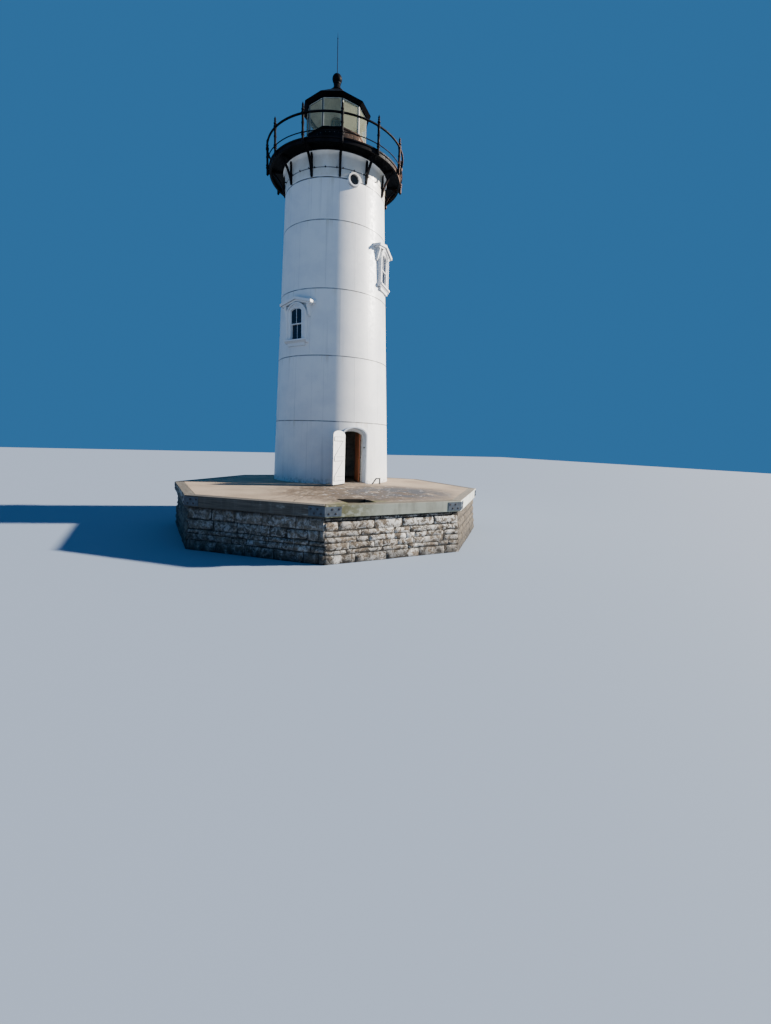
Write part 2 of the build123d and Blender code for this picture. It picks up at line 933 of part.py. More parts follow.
# Portholes: a heavy ring outside and a sleeve through the wall
flange_face = top_radius + porthole_proud
sleeve_back = flange_face - porthole_depth
pane_face = flange_face - porthole_setback
with BuildPart() as flange:
    with BuildSketch(facing(top_radius - cut_margin / 2)):
        with Locations((0, belt_low)):
            Circle(porthole_outer_radius)
    extrude(amount=cut_margin / 2 + porthole_proud)
    chamfer(flange.faces().sort_by(Axis.Y)[0].edges(), length=porthole_chamfer)
    add(tower_core, mode=Mode.SUBTRACT)
sleeve_tube = slab(circle_at(porthole_radius + porthole_sleeve, belt_low), sleeve_back, flange_face - 1)
porthole_bore = slab(circle_at(porthole_radius, belt_low), sleeve_back - 1, flange_face + 1)
porthole_ring = less(fused(flange.part, sleeve_tube), porthole_bore)
porthole_disc = slab(circle_at(porthole_radius - fit_gap, belt_low), pane_face - porthole_pane, pane_face)
porthole_places = [around_axis(angle + gallery_turn) for angle in porthole_angles]
with BuildPart(tower_foot) as porthole_rings:
    with Locations(*porthole_places):
        add(porthole_ring)
keep(porthole_rings.part, "porthole_rings")
with BuildPart(tower_foot) as porthole_glass:
    with Locations(*porthole_places):
        add(porthole_disc)
keep(porthole_glass.part, "porthole_glass")

# Gallery deck: twelve wedges with a cove on the belt and a nosed rim
nosing_low = gallery_top - nosing_height
with BuildSketch() as deck_profile:
    with BuildLine():
        Polyline(
            (rim_face, nosing_low - rim_nosing),
            (rim_face, rim_low),
            (rim_face - rim_width, rim_low),
            (rim_face - rim_width, soffit),
            (cornice_radius, soffit),
        )
        ThreePointArc(
            (cornice_radius, soffit),
            (belt_head_radius + cove_reach / 3, belt_top + cove_height * 0.65),
            (belt_head_radius, belt_top),
        )
        Polyline(
            (belt_head_radius, belt_top),
            (belt_inner, belt_top),
            (belt_inner, soffit),
            (gallery_inner_radius, soffit),
            (gallery_inner_radius, gallery_top),
            (rim_radius, gallery_top),
            (rim_radius, nosing_low),
        )
        ThreePointArc(
            (rim_radius, nosing_low),
            (rim_radius - rim_nosing * 0.3, nosing_low - rim_nosing * 0.7),
            (rim_face, nosing_low - rim_nosing),
        )
    make_face()
deck_wedge = turned_sector(deck_profile.sketch, bay - arc_of(rim_radius, plate_joint))
keep_around(deck_wedge, "gallery_deck", bay_count, gallery_turn)

# Gallery brackets: a leg on the belt, an arm under the deck and a hollow brace between them
leg_front = belt_upper_radius + bracket_leg
arm_low = soffit - bracket_arm
arm_end = rim_face - rim_width - fit_gap
brace_foot = bracket_foot + bracket_leg
brace_run = arm_end - leg_front
brace_rise = arm_low - brace_foot
brace_slant = sqrt(brace_run**2 + brace_rise**2)
eye_low = brace_foot + 2 * bracket_brace
eye_out = arm_end - 2 * bracket_brace


def brace_middle(bow):
    """Middle of the brace's curve, this far in from a straight strut."""
    middle_x = leg_front + brace_run / 2 - bow * brace_rise / brace_slant
    return middle_x, brace_foot + brace_rise / 2 + bow * brace_run / brace_slant


with BuildSketch() as bracket_side:
    with BuildLine():
        Polyline(
            (leg_front, brace_foot),
            (leg_front - bracket_leg / 3, bracket_foot),
            (belt_inner, bracket_foot),
            (belt_inner, belt_top - bracket_leg),
            (belt_head_radius + fit_gap, belt_top - fit_gap),
            (cornice_radius + 2 * fit_gap, soffit),
            (arm_end, soffit),
            (arm_end, arm_low),
        )
        ThreePointArc((arm_end, arm_low), brace_middle(bracket_hollow), (leg_front, brace_foot))
    make_face()
    with BuildLine():
        Polyline((eye_out, arm_low), (leg_front, arm_low), (leg_front, eye_low))
        ThreePointArc((leg_front, eye_low), brace_middle(bracket_hollow + bracket_brace), (eye_out, arm_low))
    make_face(mode=Mode.SUBTRACT)
bracket = less(side_piece(bracket_side.sketch, bracket_thickness), tower_core)
keep_around(bracket, "gallery_brackets", bay_count, post_turn)

# Railing: turned posts bolted to the rim's face, and two rails between them


def turned_bead(height, radius, half, shaft):
    """Four points of a bead on a turned post, standing out of a shaft of its own radius."""
    return [(shaft, height - half), (radius, height - half / 2), (radius, height + half / 2), (shaft, height + half)]


post_middle = (lower_rail_height + rail_height) / 2
ball_place = rail_height + finial_height * 0.34
bead_place = rail_height + finial_height * 0.56
spear_place = rail_height + finial_height * 0.74
post_points = [
    (0, post_low),
    (post_neck_radius / 2, post_low),
    (post_pendant_radius, post_low + post_pendant * 0.6),
    (post_radius, post_low + post_pendant),
    *turned_bead(gallery_top + 1.5 * post_collar, post_collar_radius, post_collar, post_radius),
    *turned_bead(lower_rail_height, post_collar_radius, post_collar, post_radius),
    *turned_bead(post_middle, post_bead_radius, post_collar, post_radius),
    *turned_bead(rail_height, post_collar_radius, 2 * post_collar, post_radius),
    *turned_bead(ball_place, post_bead_radius, post_collar, post_neck_radius),
    *turned_bead(bead_place, spear_radius, post_collar / 2, post_neck_radius),
    (spear_radius, spear_place),
    (0, post_high),
]
with BuildPart() as post_shaft:
    with BuildSketch(Plane.XZ):
        with BuildLine():
            Polyline(*post_points, close=True)
        make_face()
    revolve(axis=Axis.Z)
lug_outline = outline_of([
    (-post_lug_width / 2, -rim_face - fit_gap),
    (-post_lug_width / 2, -post_line_radius),
    (post_lug_width / 2, -post_line_radius),
    (post_lug_width / 2, -rim_face - fit_gap),
])
lug_low = rim_low + 2 * fit_gap
post_lug = prism(lug_outline, lug_low, lug_low + post_lug_height)
railing_post = fused(post_shaft.part.moved(Location((0, -post_line_radius, 0))), post_lug)
keep_around(railing_post, "railing_posts", bay_count, post_turn)

rail_arc = bay - arc_of(post_line_radius, 2 * (post_collar_radius + fit_gap))


def rail_piece(height, radius):
    """One bay of round rail between two posts."""
    with BuildSketch() as outline:
        with Locations((post_line_radius, height)):
            Circle(radius)
    return turned_sector(outline.sketch, rail_arc)


rails = [rail_piece(rail_height, rail_radius), rail_piece(lower_rail_height, lower_rail_radius)]
with BuildPart(tower_foot) as gallery_rails:
    with PolarLocations(0, bay_count, start_angle=gallery_turn):
        for rail in rails:
            add(rail)
keep(gallery_rails.part, "gallery_rails")

# Lantern floor: a round plate within the gallery deck, stiffened by a ledge beneath
floor_radius = gallery_inner_radius - fit_gap
floor_profile = outline_of([
    (0, gallery_top),
    (0, soffit - floor_ledge_height),
    (gallery_inner_radius + floor_ledge, soffit - floor_ledge_height),
    (gallery_inner_radius + floor_ledge, soffit),
    (floor_radius, soffit),
    (floor_radius, gallery_top),
])
keep_in_place(turned_sector(floor_profile, 360), "lantern_floor")


def side_plan(outer_flat, inner_flat):
    """Plan of one side of the lantern, mitred at its corners."""
    trim = lantern_joint / 2 / corner_ratio
    outer = outer_flat * side_tangent - trim
    inner = inner_flat * side_tangent - trim
    return outline_of([(-outer, -outer_flat), (outer, -outer_flat), (inner, -inner_flat), (-inner, -inner_flat)])


# Lantern wall: ten cast panels with a base and a moulded sill
wall_face = lantern_flat - lantern_wall_setback
wall_back = wall_face - lantern_wall_thickness
sill_low = sill_top - lantern_sill_height
sill_step = (lantern_flat + wall_face) / 2
lantern_panel = fused(
    prism(side_plan(wall_face, wall_back), gallery_top, sill_top),
    prism(side_plan(lantern_flat - lantern_base_setback, wall_back), gallery_top, gallery_top + lantern_base_height),
    prism(side_plan(lantern_flat, wall_back), sill_low + lantern_sill_height / 3, sill_top),
    prism(side_plan(sill_step, wall_back), sill_low, sill_top),
)
keep_around(lantern_panel, "lantern_wall", lantern_sides, side_turn)

# Mullions at the corners, and one sheet of glass a side
mullion_face = lantern_radius - mullion_setback
mullion_plan = outline_of([
    (-mullion_width / 2, -mullion_face),
    (mullion_width / 2, -mullion_face),
    (mullion_width / 2, -mullion_face + mullion_depth),
    (-mullion_width / 2, -mullion_face + mullion_depth),
])
keep_around(prism(mullion_plan, sill_top, eave_low), "lantern_mullions", lantern_sides, lantern_corner)
pane_back = (mullion_face - mullion_depth / 2) * corner_ratio
pane_half = pane_back * side_tangent - (mullion_width / 2 + fit_gap) / corner_ratio
glass_plan = outline_of([
    (-pane_half, -pane_back - lantern_pane_thickness),
    (pane_half, -pane_back - lantern_pane_thickness),
    (pane_half, -pane_back),
    (-pane_half, -pane_back),
])
keep_around(prism(glass_plan, sill_top, eave_low), "lantern_glass", lantern_sides, side_turn)


def lantern_side(low, low_plan, high, high_plan):
    """One of the ten sides of a ring, between its plans at two heights."""
    with BuildPart() as body:
        with BuildSketch(Plane.XY.offset(low)):
            add(low_plan)
        with BuildSketch(Plane.XY.offset(high)):
            add(high_plan)
        loft()
    return body.part


# Eave: a fascia that leans outwards, and the ten plates of the roof over it
eave_inner_flat = eave_inner_radius * corner_ratio
eave_high_flat = eave_high_radius * corner_ratio
roof_top_flat = roof_top_radius * corner_ratio
eave_side = lantern_side(
    eave_low,
    side_plan(eave_low_radius * corner_ratio, eave_inner_flat),
    eave_high,
    side_plan(eave_high_flat, eave_inner_flat),
)
roof_side = lantern_side(
    eave_high,
    side_plan(eave_high_flat, eave_high_flat - roof_thickness),
    roof_top,
    side_plan(roof_top_flat, roof_top_flat - roof_thickness),
)
keep_around(eave_side, "lantern_eave", lantern_sides, side_turn)
keep_around(roof_side, "lantern_roof", lantern_sides, side_turn)

# Ventilator: a flared foot, a neck and a ball on the roof's point
ball_low = ball_height - sqrt(ball_radius**2 - vent_collar_radius**2)
ball_high = ball_height + sqrt(ball_radius**2 - rod_seat_radius**2)
with BuildSketch() as vent_profile:
    with BuildLine():
        Polyline((0, rod_seat), (0, roof_top), (vent_foot_radius, roof_top))
        ThreePointArc(
            (vent_foot_radius, roof_top),
            (neck_radius + (vent_foot_radius - neck_radius) / 4, roof_top + (neck_height - roof_top) / 3),
            (neck_radius, neck_height),
        )
        Polyline((neck_radius, neck_height), (vent_collar_radius, neck_height + vent_collar_rise), (vent_collar_radius, ball_low))
        ThreePointArc((vent_collar_radius, ball_low), (ball_radius, ball_height), (rod_seat_radius, ball_high))
        Polyline((rod_seat_radius, ball_high), (rod_seat_radius, rod_seat), (0, rod_seat))
    make_face()
keep_in_place(turned_sector(vent_profile.sketch, 360), "roof_ventilator")

# Lightning rod with a collar under its point
rod_profile = outline_of([
    (0, rod_seat),
    (rod_radius, rod_seat),
    (rod_radius, rod_collar_height - rod_collar_radius),
    (rod_collar_radius, rod_collar_height),
    (rod_radius * 0.7, rod_collar_height + rod_collar_radius),
    (0, rod_top),
])
keep_in_place(turned_sector(rod_profile, 360), "lightning_rod")

# Lens on its pedestal
pedestal_profile = outline_of([
    (0, gallery_top),
    (pedestal_radius * 1.4, gallery_top),
    (pedestal_radius, gallery_top + pedestal_radius),
    (pedestal_radius, lens_foot - 2 * pedestal_table),
    (pedestal_table_radius, lens_foot - pedestal_table),
    (pedestal_table_radius, lens_foot),
    (0, lens_foot),
])
keep_in_place(turned_sector(pedestal_profile, 360), "lens_pedestal")
cap_low = lens_shoulder + lens_cap_radius / 2
with BuildSketch() as lens_profile:
    with BuildLine():
        Polyline((0, lens_top), (0, lens_foot), (lens_foot_radius, lens_foot))
        ThreePointArc(
            (lens_foot_radius, lens_foot),
            (lens_radius, (lens_foot + lens_shoulder) / 2),
            (lens_foot_radius, lens_shoulder),
        )
        Line((lens_foot_radius, lens_shoulder), (lens_cap_radius, cap_low))
        TangentArc((0, lens_top), (lens_cap_radius, cap_low), tangent=(1, 0))
    make_face()
keep_in_place(turned_sector(lens_profile.sketch, 360), "lens")
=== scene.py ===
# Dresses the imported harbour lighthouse. Metres, +Z up, the doorway faces -Y
import math
import random

import bmesh
import bpy
from mathutils import Matrix, Vector, noise


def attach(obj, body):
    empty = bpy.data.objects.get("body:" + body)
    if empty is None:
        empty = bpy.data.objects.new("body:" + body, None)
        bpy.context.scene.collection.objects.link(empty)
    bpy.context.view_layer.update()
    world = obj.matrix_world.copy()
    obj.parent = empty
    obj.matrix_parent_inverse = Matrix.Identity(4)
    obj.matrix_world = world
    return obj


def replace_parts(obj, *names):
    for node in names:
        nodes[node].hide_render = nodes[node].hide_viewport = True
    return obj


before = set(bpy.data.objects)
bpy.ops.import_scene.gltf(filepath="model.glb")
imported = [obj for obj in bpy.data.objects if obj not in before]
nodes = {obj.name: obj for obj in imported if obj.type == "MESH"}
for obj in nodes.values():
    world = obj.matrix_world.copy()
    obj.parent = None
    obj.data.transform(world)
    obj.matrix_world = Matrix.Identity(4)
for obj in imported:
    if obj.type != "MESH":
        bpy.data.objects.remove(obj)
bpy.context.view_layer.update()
home = "lighthouse"
print("frame loaded")

# where the tower stands, the taper of its shell, and the turns of its gallery and lantern
tower = {
    "x": 0.96, "y": 2.38, "foot": 1.46, "footRadius": 2.275, "headRadius": 1.827, "shellHigh": 10.265,
    "galleryTurn": -2.1, "lanternCorner": -11.5,
}
towerPlace = Matrix.Translation((tower["x"], tower["y"], tower["foot"]))


class Finish:
    # one material being made: each call adds a node and gives back its output

    def __init__(self, name, roughness=0.5, metallic=0.0, **sockets):
        self.material = bpy.data.materials.new(name)
        self.material.use_nodes = True
        self.tree = self.material.node_tree
        self.shader = self.tree.nodes["Principled BSDF"]
        self.shader.inputs["Roughness"].default_value = roughness
        self.shader.inputs["Metallic"].default_value = metallic
        for socket, value in sockets.items():
            self.shader.inputs[socket].default_value = value
        self.place = self.tree.nodes.new("ShaderNodeTexCoord").outputs["Object"]

    def node(self, kind, **settings):
        made = self.tree.nodes.new("ShaderNode" + kind)
        for setting, value in settings.items():
            setattr(made, setting, value)
        return made

    def feed(self, made, socket, value):
        if isinstance(value, bpy.types.NodeSocket):
            self.tree.links.new(value, made.inputs[socket])
        else:
            made.inputs[socket].default_value = value

    def stretched(self, x, y, z):
        made = self.node("Mapping")
        self.feed(made, "Vector", self.place)
        made.inputs["Scale"].default_value = (x, y, z)
        return made.outputs["Vector"]

    def mottle(self, scale, detail, rough=0.55, vector=None, warp=0.0):
        made = self.node("TexNoise")
        self.feed(made, "Vector", vector or self.place)
        settings = {"Scale": scale, "Detail": detail, "Roughness": rough, "Distortion": warp}
        for socket, value in settings.items():
            made.inputs[socket].default_value = value
        return made.outputs["Fac"]

    def span(self, value, low, high, outLow=0.0, outHigh=1.0):
        made = self.node("MapRange", interpolation_type="SMOOTHSTEP")
        self.feed(made, "Value", value)
        settings = {"From Min": low, "From Max": high, "To Min": outLow, "To Max": outHigh}
        for socket, number in settings.items():
            made.inputs[socket].default_value = number
        return made.outputs["Result"]

    def calc(self, operation, a, b=0.0):
        made = self.node("Math", operation=operation)
        self.feed(made, 0, a)
        self.feed(made, 1, b)
        return made.outputs[0]

    def axis(self, letter):
        made = self.node("SeparateXYZ")
        self.feed(made, "Vector", self.place)
        return made.outputs[letter]

    def feedColour(self, made, socket, colour):
        self.feed(made, socket, colour if isinstance(colour, bpy.types.NodeSocket) else (*colour, 1.0))

    def mix(self, share, a, b):
        made = self.node("Mix", data_type="RGBA")
        self.feed(made, 0, share)
        self.feedColour(made, 6, a)
        self.feedColour(made, 7, b)
        return made.outputs[2]

    def near(self, point, reach, soft, squash):
        # 1 close to a point of the object, 0 further away
        shift = self.node("VectorMath", operation="SUBTRACT")
        self.feed(shift, 0, self.place)
        shift.inputs[1].default_value = point
        scaled = self.node("VectorMath", operation="MULTIPLY")
        self.feed(scaled, 0, shift.outputs[0])
        scaled.inputs[1].default_value = squash
        length = self.node("VectorMath", operation="LENGTH")
        self.feed(length, 0, scaled.outputs[0])
        return self.span(length.outputs["Value"], reach - soft, reach + soft, 1.0, 0.0)

    def facing(self, x, y, z):
        # how far the surface faces one way
        made = self.node("VectorMath", operation="DOT_PRODUCT")
        self.feed(made, 0, self.node("NewGeometry").outputs["True Normal"])
        made.inputs[1].default_value = (x, y, z)
        return made.outputs["Value"]

    def line(self, value, middle, half, soft):
        # 1 within half of a value, fading out over soft
        away = self.calc("ABSOLUTE", self.calc("SUBTRACT", value, middle))
        return self.span(away, half, half + soft, 1.0, 0.0)

    def times(self, *values):
        total = values[0]
        for value in values[1:]:
            total = self.calc("MULTIPLY", total, value)
        return total

    def crack(self, start, end, half, sway, wander):
        # a wandering line on a level surface, from one point to another
        run = Vector(end) - Vector(start)
        length = run.length
        run.normalize()
        eastward, northward = self.axis("X"), self.axis("Y")
        east, north = self.calc("SUBTRACT", eastward, start[0]), self.calc("SUBTRACT", northward, start[1])
        along = self.calc("ADD", self.times(east, run.x), self.times(north, run.y))
        away = self.calc("SUBTRACT", self.times(north, run.x), self.times(east, run.y))
        away = self.calc("ADD", away, self.times(self.calc("SUBTRACT", wander, 0.5), sway))
        inside = self.times(self.span(along, 0.0, 0.1), self.span(along, length - 0.5, length, 1, 0))
        return self.times(self.line(away, 0.0, half, half), inside)

    def done(self, colour, roughness=None, height=None, strength=0.3, depth=0.004):
        self.feedColour(self.shader, "Base Color", colour)
        if roughness is not None:
            self.feed(self.shader, "Roughness", roughness)
        if height is not None:
            bump = self.node("Bump")
            bump.inputs["Strength"].default_value = strength
            bump.inputs["Distance"].default_value = depth
            self.feed(bump, "Height", height)
            self.feed(self.shader, "Normal", bump.outputs["Normal"])
        return self.material


def makePiece(name, verts, faces, material, slotName, body=home, place=None):
    mesh = bpy.data.meshes.new(name)
    mesh.from_pydata([tuple(v) for v in verts], [], faces)
    mesh.update()
    built = bmesh.new()
    built.from_mesh(mesh)
    bmesh.ops.recalc_face_normals(built, faces=built.faces)
    built.to_mesh(mesh)
    built.free()
    mesh.polygons.foreach_set("use_smooth", [False] * len(mesh.polygons))
    piece = bpy.data.objects.new(name, mesh)
    bpy.context.scene.collection.objects.link(piece)
    if place is not None:
        piece.matrix_world = place
        bpy.context.view_layer.update()
    mesh.materials.append(material)
    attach(piece, body)
    return piece


def smoothByAngle(piece, degrees):
    piece.data.polygons.foreach_set("use_smooth", [True] * len(piece.data.polygons))
    piece.data.set_sharp_from_angle(angle=math.radians(degrees))


def softEdges(piece, width, segments=2, degrees=40):
    bevel = piece.modifiers.new("soft edges", "BEVEL")
    bevel.width = width
    bevel.segments = segments
    bevel.limit_method = "ANGLE"
    bevel.angle_limit = math.radians(degrees)


class Shape:
    # gathers verts and faces of one piece

    def __init__(self):
        self.verts = []
        self.faces = []

    def add(self, verts, faces, place=None):
        start = len(self.verts)
        points = [Vector(v) for v in verts]
        self.verts += points if place is None else [place @ point for point in points]
        self.faces += [[start + i for i in face] for face in faces]

    def block(self, low, high, place=None):
        (x0, y0, z0), (x1, y1, z1) = low, high
        verts = [(x, y, z) for z in (z0, z1) for x, y in ((x0, y0), (x1, y0), (x1, y1), (x0, y1))]
        faces = [(0, 3, 2, 1), (4, 5, 6, 7), (0, 1, 5, 4), (1, 2, 6, 5), (2, 3, 7, 6), (3, 0, 4, 7)]
        self.add(verts, faces, place)

    def prism(self, outline, low, high, place=None):
        # an outline in x and z, thick from y = low to y = high
        count = len(outline)
        verts = [(x, low, z) for x, z in outline] + [(x, high, z) for x, z in outline]
        faces = [list(range(count)), list(range(2 * count - 1, count - 1, -1))]
        faces += [(i, (i + 1) % count, count + (i + 1) % count, count + i) for i in range(count)]
        self.add(verts, faces, place)

    def ring(self, outer, inner, low, high, place=None):
        # a flat ring between two outlines in x and z, thick from y = low to y = high
        count = len(outer)
        verts = [(x, y, z) for y in (low, high) for loop in (outer, inner) for x, z in loop]
        pairs = ((0, 1), (1, 3), (3, 2), (2, 0))
        faces = [(a * count + i, a * count + (i + 1) % count, b * count + (i + 1) % count, b * count + i)
                 for i in range(count) for a, b in pairs]
        self.add(verts, faces, place)

    def lathe(self, profile, steps, place=None):
        # a profile of (radius, height) turned about z
        verts = []
        for i in range(steps):
            angle = math.radians(360 * i / steps)
            verts += [(r * math.sin(angle), -r * math.cos(angle), z) for r, z in profile]
        size = len(profile)
        faces = []
        for i in range(steps):
            j = (i + 1) % steps
            faces += [(i * size + k, j * size + k, j * size + k + 1, i * size + k + 1) for k in range(size - 1)]
        self.add(verts, faces, place)

    def tube(self, path, radius, steps, place=None):
        # a round bar along a path of points
        points = [Vector(p) for p in path]
        verts = []
        for i, point in enumerate(points):
            ahead = points[min(i + 1, len(points) - 1)] - points[max(i - 1, 0)]
            across = ahead.to_track_quat("Z", "Y").to_matrix()
            for k in range(steps):
                angle = 2 * math.pi * k / steps
                verts.append(point + across @ Vector((radius * math.cos(angle), radius * math.sin(angle), 0)))
        faces = [list(range(steps))[::-1], [len(verts) - steps + k for k in range(steps)]]
        for i in range(len(points) - 1):
            for k in range(steps):
                j = (k + 1) % steps
                faces.append((i * steps + k, i * steps + j, (i + 1) * steps + j, (i + 1) * steps + k))
        self.add(verts, faces, place)

    def piece(self, name, material, **more):
        return makePiece(name, self.verts, self.faces, material, **more)


def aroundTower(angle, radius=0.0, height=0.0):
    # a place turned from the doorway by an angle, its -Y pointing outwards
    return towerPlace @ Matrix.Rotation(math.radians(angle), 4, "Z") @ Matrix.Translation((0, -radius, height))


# the white and the black paint, with the painted shade and sunlight laid on them, and where the marks on the
# white lie in height and towards the east
paint = {
    "white": (0.86, 0.86, 0.85), "shadeWhite": (0.76, 0.77, 0.78), "caulk": (0.86, 0.86, 0.85),
    "runs": (0.55, 0.56, 0.55), "stain": (0.60, 0.50, 0.30), "rust": (0.20, 0.08, 0.03),
    "belt": (0.60, 0.56, 0.47), "footDirt": (0.34, 0.30, 0.24), "paintedUndersideShade": (0.22, 0.20, 0.18),
    "seam": (0.11, 0.11, 0.108), "upright": (0.40, 0.41, 0.42), "black": (0.0055, 0.0055, 0.006),
    "soot": (0.012, 0.012, 0.014), "worn": (0.075, 0.035, 0.022), "paintedSunlight": (0.32, 0.20, 0.14),
    "under": (0.001, 0.0012, 0.0015), "sunWay": (0.75, -0.5, 0.2),
    "seams": (3.685, 5.94, 8.175, 10.39, 11.725),  # heights of the level joints, the last at the belt
    "courseSeam": (0.013, 0.9), "beltSeam": (0.016, 1.0),  # half width and strength
    "beltLine": 12.02, "beltUp": (11.70, 11.76), "stainUp": (11.4, 12.2), "stainEast": (1.5, 2.5),
    "footDirtUp": (1.5, 1.75),
}


def jointMask(made):
    # the upright joints between the plates, which step round from course to course
    east = made.calc("SUBTRACT", made.axis("X"), tower["x"])
    south = made.calc("SUBTRACT", tower["y"], made.axis("Y"))
    turn = made.calc("DEGREES", made.calc("ARCTAN2", east, south))
    height = made.axis("Z")
    for seam, step in zip(paint["seams"], (15, -15, 15, -15 + tower["galleryTurn"])):
        turn = made.calc("SUBTRACT", turn, made.times(made.calc("GREATER_THAN", height, seam), step))
    return made.line(made.calc("FLOORED_MODULO", turn, 30.0), 15.0, 0.12, 0.16)


def makeWhiteIron(name="whiteIron", seams=True):
    made = Finish(name, roughness=0.42)
    height = made.axis("Z")
    patches = made.span(made.mottle(1.3, 5), 0.35, 0.7)
    colour = made.mix(patches, paint["white"], paint["shadeWhite"])
    runs = made.mottle(1.0, 6, vector=made.stretched(6, 6, 0.22))
    colour = made.mix(made.span(runs, 0.54, 0.74, 0, 0.34), colour, paint["runs"])
    onBelt = made.times(made.span(height, *paint["beltUp"]), made.span(made.mottle(3.0, 6), 0.3, 0.6, 0.35, 0.75))
    colour = made.mix(onBelt, colour, paint["belt"])
    upper, eastern = made.span(height, *paint["stainUp"]), made.span(made.axis("X"), *paint["stainEast"])
    wash = made.span(made.mottle(1.0, 6, vector=made.stretched(4, 4, 0.9)), 0.47, 0.62, 0, 0.7)
    colour = made.mix(made.times(upper, eastern, wash), colour, paint["stain"])
    splashed = made.span(height, *paint["footDirtUp"], 1, 0)
    foot = made.times(splashed, made.span(made.mottle(9, 5), 0.4, 0.7, 0, 0.7))
    colour = made.mix(foot, colour, paint["footDirt"])
    flecks = made.span(made.mottle(26, 3, 0.6), 0.70, 0.76, 0, 0.55)
    colour = made.mix(flecks, colour, paint["rust"])
    grain = made.calc("ADD", made.mottle(60, 3), made.calc("MULTIPLY", made.mottle(5, 2), 1.5))
    if seams:
        broken = made.span(made.mottle(3.5, 5), 0.3, 0.55, 0.65, 1.0)
        for seam in paint["seams"]:
            above = made.line(height, seam + 0.035, 0.012, 0.012)
            colour = made.mix(made.times(above, 0.6), colour, paint["caulk"])
            wide, share = paint["beltSeam"] if seam == paint["seams"][-1] else paint["courseSeam"]
            joint = made.times(made.line(height, seam, wide, 0.010), broken, share)
            colour = made.mix(joint, colour, paint["seam"])
            below = made.times(made.span(height, seam - 0.35, seam, 0, 1), made.calc("LESS_THAN", height, seam))
            colour = made.mix(made.times(below, made.span(runs, 0.5, 0.7, 0, 0.3)), colour, paint["stain"])
        colour = made.mix(made.times(jointMask(made), broken, 0.35), colour, paint["upright"])
        thin = made.times(made.line(height, paint["beltLine"], 0.010, 0.008), broken, 0.9)
        colour = made.mix(thin, colour, paint["black"])
    else:
        # faces turned down are painted darker: painted shade under the hoods, sills and rings
        below = made.span(made.facing(0, 0, -1), 0.25, 0.8, 0, 0.8)
        colour = made.mix(below, colour, paint["paintedUndersideShade"])
    return made.done(colour, made.span(made.mottle(8, 3), 0.3, 0.7, 0.34, 0.5), grain, 0.14, 0.0025)


def makeBlackIron(name="blackIron", wear=0.38, sunny=2.4):
    # worn brown paint, heavier east of x = sunny where it also stands in for sunlight, with a painted sunlit
    # glint on the faces there that turn to the sun
    made = Finish(name, roughness=0.6, **{"Specular IOR Level": 0.03})
    flaking = made.mottle(13, 6, 0.65)
    east = made.span(made.axis("X"), sunny - 0.4, sunny + 0.9)
    colour = made.mix(made.span(made.mottle(4, 4), 0.3, 0.7), paint["black"], paint["soot"])
    # worn brown paint all round, laid heavier to the east, where it is partly painted sunlight
    brown = made.calc("ADD", made.times(east, 0.75), 0.10)
    colour = made.mix(made.times(made.span(flaking, 0.46, 0.66), brown, wear * 1.6), colour, paint["worn"])
    # a pale brown on faces turned to the sun, east of x = sunny: painted sunlight and glint
    sunlit = made.span(made.facing(*paint["sunWay"]), 0.35, 0.75)
    bright = made.times(sunlit, east, made.span(flaking, 0.30, 0.50), wear * 2.0)
    colour = made.mix(bright, colour, paint["paintedSunlight"])
    # faces turned down go near black: painted shade under the deck, brackets and rails
    below = made.span(made.facing(0, 0, -1), 0.3, 0.8)
    colour = made.mix(below, colour, paint["under"])
    return made.done(colour, made.span(made.mottle(20, 3), 0.3, 0.7, 0.36, 0.6), made.mottle(90, 3), 0.25, 0.0015)


deck = {
    "sand": (0.45, 0.34, 0.235), "darkSand": (0.32, 0.235, 0.155), "grit": (0.15, 0.12, 0.09),
    "worn": (0.115, 0.073, 0.040), "grey": (0.058, 0.059, 0.065), "lime": (0.55, 0.55, 0.53),
    "dirt": (0.062, 0.045, 0.026), "moss": (0.13, 0.135, 0.03), "seat": (0.02, 0.018, 0.014),
    # each patch: its colour, where it is and how soft its edge, and its mottling with the mottling's range
    "patches": (
        ("worn", ((0.0, -2.2, 1.46), 1.9, 0.6, (0.8, 0.85, 1)), (2.3, 6), (0.33, 0.55)),
        ("dirt", ((0.1, -2.3, 1.46), 2.0, 0.8, (0.8, 0.8, 1)), (9, 7, 0.65), (0.48, 0.58, 0, 0.85)),
        ("grey", ((1.25, -2.6, 1.46), 1.35, 0.7, (0.8, 0.8, 1)), (1.6, 5), (0.36, 0.56)),
        ("lime", ((0.5, -2.4, 1.46), 1.5, 0.8, (0.7, 0.8, 1)), (5.5, 6), (0.61, 0.66)),
        ("dirt", ((-0.85, -4.05, 1.46), 0.75, 0.35, (0.9, 1.3, 1)), (7, 5), (0.36, 0.52, 0, 0.9)),
    ),
    "mossPlace": ((-0.95, -4.48, 1.42), 0.52, 0.28, (0.7, 2.2, 1)),
    "crack": (0.06, 0.045, 0.03), "crackHalf": 0.012, "crackSway": 0.32,
    "cracks": (
        ((-0.25, 0.0), (-1.95, -2.56)), ((-1.5, -2.0), (-3.6, -4.1)), ((-0.3, -0.4), (-2.67, -4.15)),
        ((-0.33, 0.35), (-1.6, -2.2)), ((0.2, -0.5), (-0.5, -4.3)), ((1.6, -0.1), (3.9, -3.4)),
        ((2.9, 1.2), (4.6, 0.9)),
    ),
}


